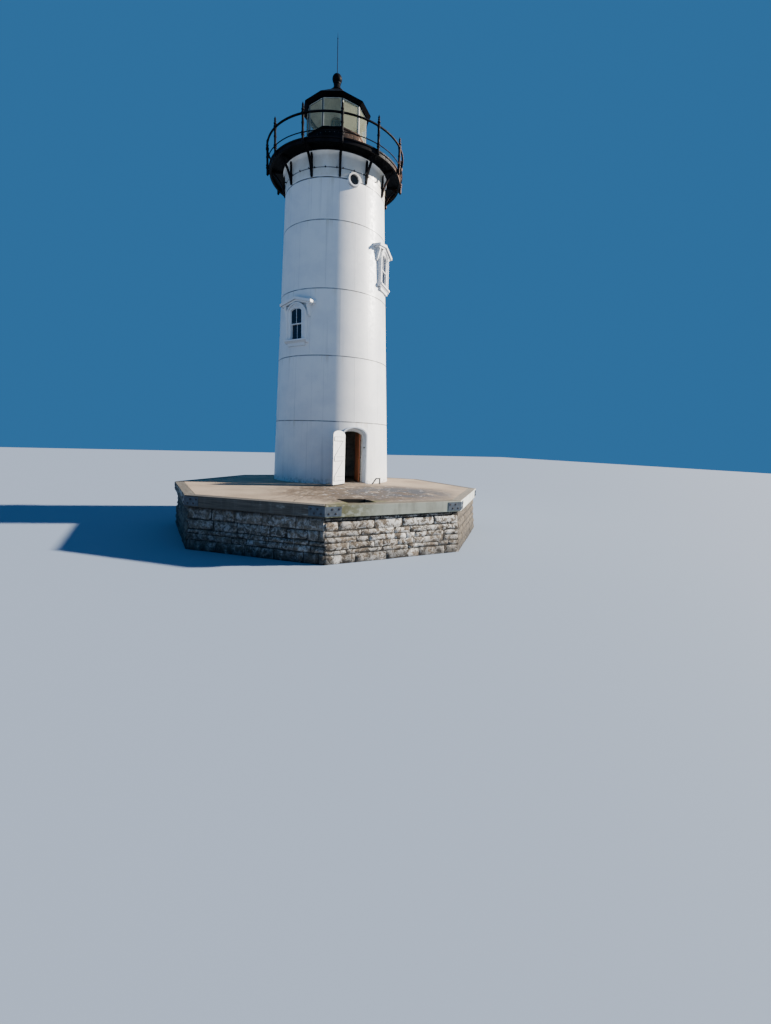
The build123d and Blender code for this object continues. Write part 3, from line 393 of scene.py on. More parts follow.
def makeConcrete():
    made = Finish("deckConcrete", roughness=0.85)
    colour = made.mix(made.span(made.mottle(0.9, 6), 0.32, 0.68), deck["sand"], deck["darkSand"])
    colour = made.mix(made.span(made.mottle(45, 4), 0.4, 0.75, 0, 0.4), colour, deck["grit"])
    for patch, place, mottling, limits in deck["patches"]:
        mask = made.times(made.near(*place), made.span(made.mottle(*mottling), *limits))
        colour = made.mix(mask, colour, deck[patch])
    # faces turned to -Y, the back wall of the landing seat, are painted near black
    colour = made.mix(made.span(made.facing(-0.25, -0.97, 0), 0.7, 0.9), colour, deck["seat"])
    moss = made.times(made.near(*deck["mossPlace"]), made.span(made.mottle(10, 5), 0.36, 0.54))
    colour = made.mix(moss, colour, deck["moss"])
    wander = made.mottle(0.9, 5)
    lines = None
    for start, end in deck["cracks"]:
        mark = made.crack(start, end, deck["crackHalf"], deck["crackSway"], wander)
        lines = mark if lines is None else made.calc("MAXIMUM", lines, mark)
    colour = made.mix(made.times(lines, 0.8), colour, deck["crack"])
    grain = made.calc("ADD", made.mottle(70, 4), made.times(lines, -3.0))
    return made.done(colour, None, grain, 0.5, 0.004)


def makeTimber(name, bare, faded, share, moss=0.0):
    # long grain runs along the piece's own x, and the top is trodden bare
    made = Finish(name, roughness=0.8)
    grain = made.mottle(1.0, 8, 0.6, made.stretched(1.3, 38, 38))
    wood = made.mix(made.span(grain, 0.3, 0.7), bare, tuple(0.5 * c for c in bare))
    lost = 0.34 * share
    flaked = made.span(made.mottle(1.0, 7, 0.62, made.stretched(1.6, 7, 7)), 0.62 - lost, 0.72 - lost)
    front = made.span(made.facing(0, 0, 1), 0.3, 0.7, 1.0, 0.12)
    coat = made.times(flaked, front)
    colour = made.mix(coat, wood, faded)
    drips = made.span(made.mottle(1.0, 5, 0.6, made.stretched(5, 5, 0.7)), 0.5, 0.7, 0, 0.45)
    colour = made.mix(made.times(drips, front), colour, tuple(0.5 * c + 0.03 for c in faded))
    if moss:
        edge = made.span(made.axis("X"), -0.2, -1.6, 0.05, moss)
        green = made.times(edge, made.span(made.mottle(7, 6), 0.32, 0.54))
        colour = made.mix(green, colour, (0.075, 0.072, 0.022))
    damp = made.span(made.mottle(3, 4, vector=made.stretched(1, 1, 0.3)), 0.5, 0.75, 0, 0.45)
    colour = made.mix(damp, colour, tuple(0.35 * c for c in bare))
    height = made.calc("ADD", grain, made.times(coat, 0.4))
    return made.done(colour, made.span(coat, 0, 1, 0.9, 0.65), height, 0.7, 0.004)


def makeRubble(name, stoneLight, stoneDark, limewash, lime=(0.72, 0.69, 0.62), soft=0.07):
    made = Finish(name, roughness=0.92)
    stone = made.mix(made.span(made.mottle(2.6, 3), 0.38, 0.62), stoneLight, stoneDark)
    stone = made.mix(made.span(made.mottle(15, 6), 0.42, 0.7), stone, tuple(1.6 * c for c in stoneLight))
    pits = made.span(made.mottle(40, 6, 0.7), 0.48, 0.62, 0, 0.7)
    stone = made.mix(pits, stone, tuple(0.35 * c for c in stoneDark))
    bare = 0.68 - 0.26 * limewash
    white = made.span(made.mottle(7.5, 9, 0.76, warp=0.7), bare, bare + soft)
    patches = made.span(made.mottle(0.7, 3), 0.34, 0.60)
    coat = made.times(white, made.calc("MAXIMUM", patches, limewash - 0.3))
    colour = made.mix(coat, stone, lime)
    wet = made.times(made.span(made.axis("Z"), 0.05, 0.6, 1, 0), made.span(made.mottle(4, 5), 0.3, 0.55))
    colour = made.mix(made.times(wet, 0.75), colour, (0.014, 0.013, 0.011))
    # the top of the wall is darker under the timbers' overhang: painted shade
    under = made.times(made.span(made.axis("Z"), 1.02, 1.15, 0, 1), 0.7)
    colour = made.mix(under, colour, tuple(0.4 * c for c in stoneDark))
    rough = made.calc("ADD", made.mottle(24, 8, 0.7), made.calc("MULTIPLY", coat, 0.25))
    return made.done(colour, None, rough, 0.9, 0.018)


def makePlain(name, colour, roughness, metallic, speck, scale, bump=0.15):
    made = Finish(name, roughness=roughness, metallic=metallic)
    darker = tuple(c * (1 - 0.45 * speck) for c in colour)
    tone = made.mix(made.span(made.mottle(scale, 4), 0.35, 0.68), colour, darker)
    dust = made.span(made.mottle(scale * 0.2, 5), 0.5, 0.8, 0, 0.25 * speck)
    tone = made.mix(dust, tone, tuple(0.6 * c + 0.08 for c in colour))
    return made.done(tone, None, made.mottle(scale * 3, 3), bump, 0.0015)


def makeGlass(name, tint, opacity, roughness=0.03):
    # light passes through it by its alpha, so that what stands behind is lit
    made = Finish(name, roughness=roughness, **{"Alpha": opacity, "IOR": 1.45})
    smear = made.span(made.mottle(3, 5), 0.35, 0.7)
    colour = made.mix(smear, tint, tuple(0.85 * c for c in tint))
    return made.done(colour, None, made.mottle(1.5, 2), 0.03, 0.002)


whiteIron = makeWhiteIron()
blackIron = makeBlackIron()
lanternIron = makeBlackIron("lanternIron", 0.12, 1.5)
parapetIron = makeBlackIron("parapetIron", 0.36, 1.0)
fittingWhite = makeWhiteIron("fittingWhite", False)
concrete = makeConcrete()
cornerSteel = makePlain("cornerSteel", (0.07, 0.09, 0.115), 0.5, 0.3, 0.9, 9)
boltSteel = makePlain("boltSteel", (0.035, 0.035, 0.04), 0.5, 0.5, 0.6, 60)
revealPaint = makePlain("revealPaint", (0.60, 0.66, 0.74), 0.5, 0, 0.3, 9)
sillIron = makePlain("sillIron", (0.30, 0.24, 0.18), 0.8, 0, 0.8, 18, 0.4)
doorWhite = makePlain("doorWhite", (0.79, 0.79, 0.78), 0.5, 0, 0.25, 10, 0.2)
stopPaint = makePlain("stopPaint", (0.72, 0.70, 0.65), 0.6, 0, 0.4, 12)
# painted shadow along the edges of the door's battens and braces
battenShadowPaint = makePlain("battenShadowPaint", (0.13, 0.13, 0.12), 0.8, 0, 0.6, 20)
scraperIron = makePlain("scraperIron", (0.075, 0.08, 0.085), 0.6, 0.3, 0.8, 40)
hingeIron = makePlain("hingeIron", (0.14, 0.13, 0.125), 0.55, 0.5, 0.8, 40)
sashWhite = makePlain("sashWhite", (0.74, 0.75, 0.75), 0.5, 0, 0.3, 18)
windowGlass = makePlain("windowGlass", (0.008, 0.014, 0.03), 0.06, 0, 0.6, 2, 0.02)
portholeGlass = makePlain("portholeGlass", (0.045, 0.042, 0.034), 0.2, 0, 0.8, 6, 0.02)
lanternGlass = makeGlass("lanternGlass", (0.50, 0.52, 0.36), 0.17)
mullionPaint = makePlain("mullionPaint", (0.014, 0.016, 0.016), 0.5, 0, 0.4, 20)
beadPaint = makePlain("beadPaint", (0.60, 0.64, 0.56), 0.5, 0, 0.3, 20)
boltPaint = makePlain("boltPaint", (0.20, 0.19, 0.17), 0.6, 0, 0.6, 40)
ceilingPaint = makePlain("ceilingPaint", (0.84, 0.82, 0.58), 0.7, 0, 0.4, 4)
pedestalPaint = makePlain("pedestalPaint", (0.03, 0.06, 0.045), 0.4, 0, 0.4, 20)
floorIron = makePlain("floorIron", (0.22, 0.21, 0.19), 0.6, 0, 0.6, 15)
limeBrick = makePlain("limeBrick", (0.50, 0.47, 0.42), 0.9, 0, 0.7, 6, 0.5)
print("finishes made")

# the nodes that keep their shape, by their finish
dressed = (
    (whiteIron, ("course_1", "course_2", "course_3", "course_4", "course_5", "doorway_head_plate",
                 "gallery_belt")),
    (fittingWhite, ("window_frames", "window_sills", "window_hoods", "porthole_rings")),
    (blackIron, ("gallery_deck", "gallery_brackets")), (parapetIron, ("lantern_wall",)),
    (lanternIron, ("lantern_eave", "lantern_roof", "roof_ventilator", "lightning_rod")),
    (limeBrick, ("base_lining", "doorway_lintel", "upper_lining")),
    (revealPaint, ("door_jambs", "door_arch")), (sillIron, ("door_sill",)),
    (hingeIron, ("outer_door_straps", "inner_door_straps", "hinge_pins", "door_keeper")),
    (portholeGlass, ("porthole_glass",)), (cornerSteel, ("corner_plates",)),
    (mullionPaint, ("lantern_mullions",)), (lanternGlass, ("lantern_glass",)),
    (floorIron, ("lantern_floor",)), (pedestalPaint, ("lens_pedestal",)),
)
for material, nodeNames in dressed:
    for nodeName in nodeNames:
        nodes[nodeName].data.materials.clear()
        nodes[nodeName].data.materials.append(material)
print("frame dressed")

# the platform's masonry: rubble stones standing a little proud of their mortar
masonry = {
    "topFlat": 4.8088, "batter": 0.12, "height": 1.16, "mortarBack": 0.055, "joint": 0.020, "seed": 5,
    "courseLow": 0.12, "courseHigh": 0.30, "stoneLow": 0.25, "stoneHigh": 1.05, "bulge": 0.030,
}
mortarStone = makeRubble("rubbleMortar", (0.030, 0.026, 0.020), (0.014, 0.012, 0.010), 0.25)
rubbleLimed = makeRubble("rubbleLimed", (0.17, 0.13, 0.09), (0.065, 0.052, 0.038), 0.80, (0.60, 0.58, 0.53))
rubbleWarm = makeRubble("rubbleWarm", (0.115, 0.093, 0.065), (0.05, 0.038, 0.027), 0.30, (0.21, 0.185, 0.145))
rubbleDark = makeRubble("rubbleDark", (0.15, 0.125, 0.095), (0.066, 0.058, 0.047), 0.80, (0.43, 0.44, 0.45), 0.12)
rubbleGrey = makeRubble("rubbleGrey", (0.13, 0.12, 0.095), (0.055, 0.05, 0.042), 0.45, (0.44, 0.44, 0.42))
sideShare = math.tan(math.radians(22.5))  # half a side of an octagon, for each unit out to its flat
slopeLength = math.hypot(masonry["height"], masonry["batter"])


def octagon(flat):
    # corners of the platform's plan, with this distance from the middle to each flat
    corner = flat / math.cos(math.radians(22.5))
    turns = [math.radians(22.5 + 45 * k) for k in range(8)]
    return [(corner * math.cos(turn), corner * math.sin(turn)) for turn in turns]


def wallPoint(u, v, w):
    # a point of a face that looks along -Y: u along it, v up its slope, w out of it
    share = v / slopeLength
    flat = masonry["topFlat"] + masonry["batter"] * (1 - share)
    lean = masonry["batter"] / slopeLength
    upright = masonry["height"] / slopeLength
    reach = flat + w * upright
    limit = reach * sideShare - 0.003
    return Vector((max(-limit, min(limit, u)), -reach, v * upright + w * lean))


def layStones(draw):
    # rows of stones over one face, as (u0, u1, v0, v1)
    stones = []
    v = 0.0
    while v < slopeLength - 0.01:
        rise = draw.uniform(masonry["courseLow"], masonry["courseHigh"])
        if slopeLength - v - rise < masonry["courseLow"] * 0.7:
            rise = slopeLength - v
        end = (masonry["topFlat"] + masonry["batter"]) * sideShare
        u = -end
        while u < end - 0.01:
            run = draw.uniform(masonry["stoneLow"], masonry["stoneHigh"])
            if end - u - run < masonry["stoneLow"] * 0.7:
                run = end - u
            stones.append((u, u + run, v, v + rise))
            u += run
        v += rise
    return stones


def addStone(shape, stone, draw, turn):
    # a rounded, uneven front on a grid of points, and a flat back that is sunk in the mortar
    u0, u1, v0, v1 = stone
    half = masonry["joint"] / 2
    columns = max(3, int((u1 - u0) / 0.075))
    rows = max(3, int((v1 - v0) / 0.05))
    tilt = [draw.uniform(-0.020, 0.020) for _ in range(4)]
    proud = draw.uniform(-0.022, 0.0)
    shift = Vector((draw.uniform(0, 50), draw.uniform(0, 50), draw.uniform(0, 50)))
    verts = []
    for j in range(rows + 1):
        for i in range(columns + 1):
            s, t = i / columns, j / rows
            lowEdge = tilt[0] * (1 - s) + tilt[1] * s
            highEdge = tilt[2] * (1 - s) + tilt[3] * s
            u = u0 + half + (u1 - u0 - 2 * half) * s
            v = v0 + half + (v1 - v0 - 2 * half) * t
            v += 0 if v0 < 0.01 and j == 0 else (lowEdge * (1 - t) + highEdge * t) * 0.5
            edge = min(s * (u1 - u0), (1 - s) * (u1 - u0), t * (v1 - v0), (1 - t) * (v1 - v0))
            drop = 1 - min(1.0, edge / 0.035)
            w = proud - masonry["bulge"] * (1 - math.sqrt(1 - drop ** 2))
            w += 0.018 * noise.noise(Vector((u * 7, v * 7, 0)) + shift) - 0.012
            jog = 0.009 * noise.noise(Vector((u * 12, v * 12, 9)) + shift)
            v = max(0.0, min(slopeLength, v + (jog if 0 < j < rows else 0)))
            verts.append(turn @ wallPoint(u + jog, v, min(w, -0.001)))
    across = columns + 1
    faces = [(j * across + i, j * across + i + 1, (j + 1) * across + i + 1, (j + 1) * across + i)
             for j in range(rows) for i in range(columns)]
    rim = list(range(across)) + [j * across + columns for j in range(1, rows + 1)]
    rim += [rows * across + i for i in range(columns - 1, -1, -1)]
    rim += [j * across for j in range(rows - 1, 0, -1)]
    back = len(verts)
    for index in rim:
        j, i = divmod(index, across)
        u = u0 + half + (u1 - u0 - 2 * half) * i / columns
        v = v0 + half + (v1 - v0 - 2 * half) * j / rows
        verts.append(turn @ wallPoint(u, max(0.0, min(slopeLength, v)), -masonry["mortarBack"] - 0.01))
    count = len(rim)
    faces += [(rim[k], rim[(k + 1) % count], back + (k + 1) % count, back + k) for k in range(count)]
    faces.append([back + k for k in range(count)])
    shape.add(verts, faces)


def makeMasonry():
    draw = random.Random(masonry["seed"])
    core = Shape()
    ring = []
    for lean, height in ((masonry["batter"], 0.0), (0.0, masonry["height"])):
        ring += [(x, y, height) for x, y in octagon(masonry["topFlat"] + lean - masonry["mortarBack"])]
    faces = [list(range(8))[::-1], [8 + k for k in range(8)]]
    faces += [(k, (k + 1) % 8, 8 + (k + 1) % 8, 8 + k) for k in range(8)]
    core.add(ring, faces)
    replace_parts(core.piece("masonryMortar", mortarStone, slotName="rubble_masonry"), "foundation_wall")
    faces = [rubbleLimed, rubbleWarm, rubbleWarm, rubbleGrey, rubbleGrey, rubbleGrey, rubbleGrey, rubbleDark]
    for side in range(8):
        turn = Matrix.Rotation(math.radians(45 * side), 4, "Z")
        shape = Shape()
        for stone in layStones(draw):
            addStone(shape, stone, draw, turn)
        wall = shape.piece(f"rubbleWall{side + 1}", faces[side], slotName="rubble_masonry")
        smoothByAngle(wall, 50)
        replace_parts(wall, "foundation_wall")


makeMasonry()
print("masonry laid")

# the timbers round the top, and the bolts of their corner plates
timber = {
    "flat": 4.8688, "width": 0.28, "low": 1.16, "high": 1.46, "joint": 0.003, "soften": 0.012,
    "boltHeight": 1.31, "boltRows": (-0.055, 0.055), "boltPlaces": (0.1, 0.19, 0.28, 0.37),
    "boltRadius": 0.021, "boltTall": 0.012, "plateFace": 0.0105, "steps": 24, "dent": 0.005,
}
timberDark = makeTimber("timberDark", (0.11, 0.098, 0.08), (0.19, 0.19, 0.17), 0.1)
timberMinty = makeTimber("timberMinty", (0.19, 0.15, 0.10), (0.25, 0.27, 0.22), 0.95, 0.95)
timberPale = makeTimber("timberPale", (0.23, 0.18, 0.12), (0.60, 0.62, 0.56), 1.0)
timberFaded = makeTimber("timberFaded", (0.16, 0.135, 0.10), (0.36, 0.37, 0.32), 0.4)


def makeTimbers():
    # mitred beams with small dents in their outer faces
    finishes = [timberMinty, timberPale] + [timberFaded] * 5 + [timberDark]
    for side in range(8):
        half = timber["flat"] * sideShare - timber["joint"]
        inner = half - timber["width"] * sideShare
        middle = timber["flat"] - timber["width"] / 2
        verts, faces = [], []
        steps = timber["steps"]
        levels = (timber["low"], timber["low"] + 0.1, timber["low"] + 0.2, timber["high"])
        centre = (timber["low"] + timber["high"]) / 2
        for i in range(steps + 1):
            s = i / steps * 2 - 1
            for z in levels:
                dent = timber["dent"] * max(0.0, noise.noise(Vector((s * half * 2.4, z * 9, side * 7.0))))
                verts.append((s * half, -timber["width"] / 2 + (dent if 0 < i < steps else 0), z - centre))
            for z in reversed(levels):
                verts.append((s * inner, timber["width"] / 2, z - centre))
        loop = 2 * len(levels)
        for i in range(steps):
            for k in range(loop):
                m = (k + 1) % loop
                faces.append((i * loop + k, (i + 1) * loop + k, (i + 1) * loop + m, i * loop + m))
        faces += [list(range(loop)), [steps * loop + k for k in range(loop)][::-1]]
        turn = Matrix.Rotation(math.radians(45 * side), 4, "Z")
        place = turn @ Matrix.Translation((0, -middle, centre))
        name = f"edgeTimber{side + 1}"
        beam = makePiece(name, verts, faces, finishes[side], "weathered_timber", place=place)
        softEdges(beam, timber["soften"], 2, 50)
        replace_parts(beam, "fascia_beams")


slab = {
    "flat": 4.588, "low": 1.16, "high": 1.46, "recessLow": 1.36,
    "left": -1.28, "right": -0.50, "backLeft": -3.72, "backRight": -3.91,
}


def makeSlab():
    # the concrete top, with the empty seat of a landing that runs out to the front timber
    ring = octagon(slab["flat"])
    front = -slab["flat"]
    seat = [(slab["left"], front), (slab["left"], slab["backLeft"]),
            (slab["right"], slab["backRight"]), (slab["right"], front)]
    verts = [(x, y, slab["low"]) for x, y in ring] + [(x, y, slab["high"]) for x, y in ring]
    verts += [(x, y, slab["high"]) for x, y in seat] + [(x, y, slab["recessLow"]) for x, y in seat]
    # the front edge runs from ring corner 5 to corner 6
    faces = [list(range(8))[::-1], [8, 9, 10, 11, 12, 13, 16, 17, 18, 19, 14, 15], [20, 21, 22, 23]]
    faces += [[k, (k + 1) % 8, 8 + (k + 1) % 8, 8 + k] for k in range(8) if k != 5]
    faces += [[5, 6, 14, 19, 23, 20, 16, 13], [16, 20, 21, 17], [17, 21, 22, 18], [18, 22, 23, 19]]
    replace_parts(makePiece("deckTop", verts, faces, concrete, slotName="concrete"), "deck_slab")


def boltHead(shape, place, radius, height=None):
    # a six-sided head on a round washer, standing on the plane y = 0 and facing -Y
    tall = height or radius * 0.7
    turned = place @ Matrix.Rotation(math.radians(90), 4, "X")
    washer = [(0, 0), (radius * 1.35, 0), (radius * 1.35, radius * 0.18), (0, radius * 0.18)]
    shape.lathe(washer, 16, turned)
    turns = [math.radians(60 * k) for k in range(6)]
    sides = [(radius * math.cos(turn), radius * math.sin(turn)) for turn in turns]
    verts = [(x, y, radius * 0.15) for x, y in sides] + [(x, y, tall * 0.8) for x, y in sides]
    verts += [(0.78 * x, 0.78 * y, tall) for x, y in sides]
    faces = [[12 + k for k in range(6)]]
    for level in (0, 6):
        faces += [(level + k, level + (k + 1) % 6, level + 6 + (k + 1) % 6, level + 6 + k) for k in range(6)]
    shape.add(verts, faces, turned)


def makeCornerBolts():
    shape = Shape()
    for corner in range(8):
        for wing in (-1, 1):
            turn = Matrix.Rotation(math.radians(45 * corner + 22.5 + wing * 22.5), 4, "Z")
            end = timber["flat"] * sideShare
            for index, along in enumerate(timber["boltPlaces"]):
                height = timber["boltHeight"] + timber["boltRows"][index % 2]
                out = -timber["flat"] - timber["plateFace"]
                place = turn @ Matrix.Translation((-wing * (end - along), out, height))
                boltHead(shape, place, timber["boltRadius"], timber["boltTall"])
    smoothByAngle(shape.piece("cornerBolts", boltSteel, slotName="hinge_iron"), 30)


makeTimbers()
makeSlab()
makeCornerBolts()
print("timbers and bolts set")

# the studs and the slim bead on the belt under the gallery
belt = {
    "radius": 1.8285, "bead": 10.56, "beadProud": 0.004, "beadHigh": 0.009, "steps": 96,
    "studs": (-15, -3.2, 3.2), "studRadius": 0.022,
    # share of the radius, and height
    "stud": ((1, 0), (1, 0.008), (0.62, 0.014), (0.62, 0.034), (0.8, 0.04), (0.8, 0.052), (0.4, 0.062),
             (0, 0.064)),
}


def collar(height, radius, half, shaft):
    # the profile of a ring that stands out of a round shaft
    low, high = height - half, height + half
    return [(shaft, low), (radius, height - half / 2), (radius, height + half / 2), (shaft, high)]


def makeBelt():
    rim, studs = Shape(), Shape()
    profile = collar(belt["bead"], belt["radius"] + belt["beadProud"], belt["beadHigh"], belt["radius"])
    rim.lathe(profile, belt["steps"], aroundTower(tower["galleryTurn"]))
    smoothByAngle(rim.piece("beltBead", lanternIron, slotName="gallery_iron"), 40)
    profile = [(belt["studRadius"] * share, height) for share, height in belt["stud"]]
    for bay in range(12):
        for offset in belt["studs"]:
            angle = tower["galleryTurn"] + 15 + 30 * bay + offset
            place = aroundTower(angle, belt["radius"] + 0.001, belt["bead"])
            studs.lathe(profile, 12, place @ Matrix.Rotation(math.radians(90), 4, "X"))
    smoothByAngle(studs.piece("beltStuds", lanternIron, slotName="gallery_iron"), 40)


railing = {
    "line": 2.459, "top": 12.610, "foot": 12.395, "rail": 13.276, "lowerRail": 12.732, "crown": 13.611,
    "turn": 15 + tower["galleryTurn"], "shaft": 0.040, "neck": 0.026, "collar": 0.055, "bead": 0.050,
    "half": 0.032, "spear": 0.038, "pendant": 0.075, "pendantRadius": 0.047, "railRadius": 0.032,
    "lowerRadius": 0.015, "lugFace": 2.39, "lug": (0.052, 12.461, 12.551), "steps": 20,
}


def makeRailing():
    # twelve turned posts with pendants, collars and spear heads, and two round rails between them
    part = railing
    finial = part["crown"] - part["rail"]
    profile = [(0, part["foot"]), (part["neck"] / 2, part["foot"]),
               (part["pendantRadius"], part["foot"] + 0.6 * part["pendant"]),
               (part["shaft"], part["foot"] + part["pendant"])]
    profile += collar(part["top"] + 1.5 * part["half"], part["collar"], part["half"], part["shaft"])
    profile += collar(part["lowerRail"], part["collar"], part["half"], part["shaft"])
    profile += collar((part["lowerRail"] + part["rail"]) / 2, part["bead"], part["half"], part["shaft"])
    profile += collar(part["rail"], part["collar"], 2 * part["half"], part["shaft"])
    profile += collar(part["rail"] + 0.34 * finial, part["bead"], part["half"], part["neck"])
    profile += collar(part["rail"] + 0.56 * finial, part["spear"], part["half"] / 2, part["neck"])
    profile += [(part["spear"], part["rail"] + 0.74 * finial), (0, part["crown"])]
    posts, rails = Shape(), Shape()
    gap = math.degrees((part["collar"] + 0.0005) / part["line"])
    wide, lugLow, lugHigh = part["lug"]
    flat = Matrix.Translation((tower["x"], tower["y"], 0))
    for index in range(12):
        angle = part["turn"] + 30 * index
        around = flat @ Matrix.Rotation(math.radians(angle), 4, "Z")
        posts.lathe(profile, part["steps"], around @ Matrix.Translation((0, -part["line"], 0)))
        posts.block((-wide / 2, -part["line"], lugLow), (wide / 2, -part["lugFace"], lugHigh), around)
        for height, radius in ((part["rail"], part["railRadius"]), (part["lowerRail"], part["lowerRadius"])):
            path = []
            for step in range(13):
                turn = math.radians(gap + (30 - 2 * gap) * step / 12)
                path.append((part["line"] * math.sin(turn), -part["line"] * math.cos(turn), height))
            rails.tube(path, radius, 14, around)
    for shape, name, node in ((posts, "railingPosts", "railing_posts"), (rails, "railingRails", "gallery_rails")):
        made = shape.piece(name, blackIron, slotName="gallery_iron")
        smoothByAngle(made, 32)
        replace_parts(made, node)


makeBelt()
makeRailing()
print("belt studs and railing set")

# the sashes, glass and bars of the windows, and the mouldings of their surrounds
windows = {
    "angles": (-165, -60, 45), "feet": (2.788, 5.043, 7.278), "halfWidth": 0.255, "height": 1.045,
    "archRise": 0.11, "barWidth": 0.020, "barDepth": 0.026, "stile": 0.022, "meetingRail": 0.034,
    "setback": 0.022, "sashThickness": 0.036, "spacing": 0.006, "surroundProud": 0.045, "play": 0.002,
}


def shellRadius(height):
    taper = (tower["footRadius"] - tower["headRadius"]) / tower["shellHigh"]
    return tower["footRadius"] - taper * height


def sashLoops(foot, upper, inset):
    # one sash's edge, this far in from the edge of its half of the opening
    half = windows["halfWidth"] - windows["play"] - inset
    meeting, rail = foot + windows["height"] / 2, windows["meetingRail"]
    if not upper:
        high = meeting + rail / 2 if inset == 0 else meeting - rail / 2
        low = foot + windows["play"] + inset
        return [(-half, low), (half, low), (half, high), (-half, high)]
    low = meeting - rail / 2 if inset == 0 else meeting + rail / 2
    spring = foot + windows["height"] - windows["archRise"]
    rise = windows["archRise"] - windows["play"] - inset * 0.8
    turns = [math.pi * k / 16 for k in range(17)]
    head = [(half * math.cos(turn), spring + rise * math.sin(turn)) for turn in turns]
    return [(-half, low), (half, low)] + head


def makeSashes():
    # slim sashes and their glass, close behind the face of each surround
    frames, panes = Shape(), Shape()
    for angle, foot in zip(windows["angles"], windows["feet"]):
        place = aroundTower(angle)
        front = shellRadius(foot) + windows["surroundProud"] - windows["setback"]
        for upper in (True, False):
            face = front if upper else front - windows["sashThickness"] - windows["spacing"]
            outer, inner = sashLoops(foot, upper, 0), sashLoops(foot, upper, windows["stile"])
            frames.ring(outer, inner, -face, -face + windows["sashThickness"], place)
            middle = -face + windows["sashThickness"] / 2
            panes.prism(inner, middle - 0.003, middle + 0.003, place)
    sashes = frames.piece("sashFrames", sashWhite, slotName="white_joinery")
    softEdges(sashes, 0.003, 1)
    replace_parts(sashes, "window_sashes")
    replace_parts(panes.piece("sashPanes", windowGlass, slotName="window_glass"), "window_glass")


def makeGlazingBars():
    shape = Shape()
    for angle, foot in zip(windows["angles"], windows["feet"]):
        front = shellRadius(foot) + windows["surroundProud"] - windows["setback"]
        half = windows["barWidth"] / 2
        meeting = foot + windows["height"] / 2
        top = foot + windows["height"]
        spans = ((meeting + windows["meetingRail"] / 2 - 0.002, top - windows["stile"] + 0.004, front),
                 (foot + windows["stile"] - 0.004, meeting - windows["meetingRail"] / 2 + 0.002,
                  front - windows["sashThickness"] - windows["spacing"]))
        for low, high, face in spans:
            middle = face - windows["sashThickness"] / 2
            back = middle - windows["barDepth"] / 2
            place = aroundTower(angle)
            shape.block((-half, -face + 0.004, low), (half, -middle - 0.0035, high), place)
            shape.block((-half * 0.8, -middle + 0.0035, low), (half * 0.8, -back, high), place)
    bars = shape.piece("glazingBars", sashWhite, slotName="white_joinery")
    softEdges(bars, 0.003, 1)


mouldings = {
    "spring": 0.82, "half": 0.45, "rise": 0.42, "insets": (0.014, 0.056, 0.104, 0.148), "bead": 0.010,
    "band": 0.025, "bandInset": 0.07, "steps": 28, "sides": 6,
}


def makeMouldings():
    # half-round beads that follow each window's arched surround
    shape = Shape()
    steps, sides, bead = mouldings["steps"], mouldings["sides"], mouldings["bead"]
    for angle, foot in zip(windows["angles"], windows["feet"]):
        place = aroundTower(angle)
        spring = foot + mouldings["spring"]
        for inset in mouldings["insets"]:
            band = mouldings["band"] if inset < mouldings["bandInset"] else 0
            face = shellRadius(foot) + windows["surroundProud"] + band
            half, rise = mouldings["half"] - inset, mouldings["rise"] - inset
            turns = [math.pi * (1 - step / steps) for step in range(1, steps)]
            path = [(-half, foot + 0.002), (-half, spring)]
            path += [(half * math.cos(turn), spring + rise * math.sin(turn)) for turn in turns]
            path += [(half, spring), (half, foot + 0.002)]
            verts = []
            for i, (x, z) in enumerate(path):
                before, after = path[max(i - 1, 0)], path[min(i + 1, len(path) - 1)]
                along = Vector((after[0] - before[0], after[1] - before[1])).normalized()
                for k in range(sides):
                    turn = math.pi * k / (sides - 1)
                    side, out = bead * math.cos(turn), 0.9 * bead * math.sin(turn)
                    verts.append((x - along.y * side, -face + 0.001 - out, z + along.x * side))
            bays = range(len(path) - 1)
            faces = [(i * sides + k, (i + 1) * sides + k, (i + 1) * sides + k + 1, i * sides + k + 1)
                     for i in bays for k in range(sides - 1)]
            faces += [tuple(range(sides)), tuple(range(len(verts) - sides, len(verts)))]
            faces += [((i + 1) * sides - 1, (i + 2) * sides - 1, (i + 1) * sides, i * sides) for i in bays]
            shape.add(verts, faces, place)
    smoothByAngle(shape.piece("windowMouldings", fittingWhite, slotName="white_iron"), 50)


makeSashes()
makeGlazingBars()
makeMouldings()
print("glazing bars and mouldings set")

# the two door leaves, the strip that the inner one shuts against, and the boot scraper
doors = {
    "halfWidth": 0.44, "low": 0.055, "spring": 1.745, "outerRise": 0.15, "innerRise": 0.26, "boards": 6,
    "groove": 0.004,
    "face": 2.29, "thickness": 0.045, "outerPin": (-0.462, -2.32), "outerTurn": -139,
    "innerFace": 1.85, "innerPin": (0.462, -1.82), "innerTurn": -104,
    "battens": (0.25, 0.93, 1.61), "battenWidth": 0.13, "battenThickness": 0.028, "battenInset": 0.055,
    "battenShadow": 0.014, "nailRise": 0.035,
    "nail": ((0.008, -0.001), (0.0075, 0.002), (0.004, 0.0035), (0, 0.004)),
    "varnish": (0.62, 0.20, 0.07), "darkVarnish": (0.34, 0.10, 0.035),
}


def archTop(x, half, rise):
    return doors["spring"] + rise * math.sqrt(max(0.0, 1 - (x / half) ** 2))


def swung(pin, angle):
    turn = Matrix.Rotation(math.radians(angle), 4, "Z")
    return towerPlace @ Matrix.Translation((pin[0], pin[1], 0)) @ turn @ Matrix.Translation((-pin[0], -pin[1], 0))


def addBoards(shape, rise, near, far, place):
    # upright boards with a small groove between them, under a curved head
    width = 2 * doors["halfWidth"] / doors["boards"]
    for index in range(doors["boards"]):
        left = -doors["halfWidth"] + index * width + (doors["groove"] / 2 if index else 0)
        last = index == doors["boards"] - 1
        right = -doors["halfWidth"] + (index + 1) * width - (0 if last else doors["groove"] / 2)
        steps = 8
        places = [right + (left - right) * k / steps for k in range(steps + 1)]
        top = [(x, archTop(x, doors["halfWidth"], rise)) for x in places]
        shape.prism([(left, doors["low"]), (right, doors["low"])] + top, near, far, place)


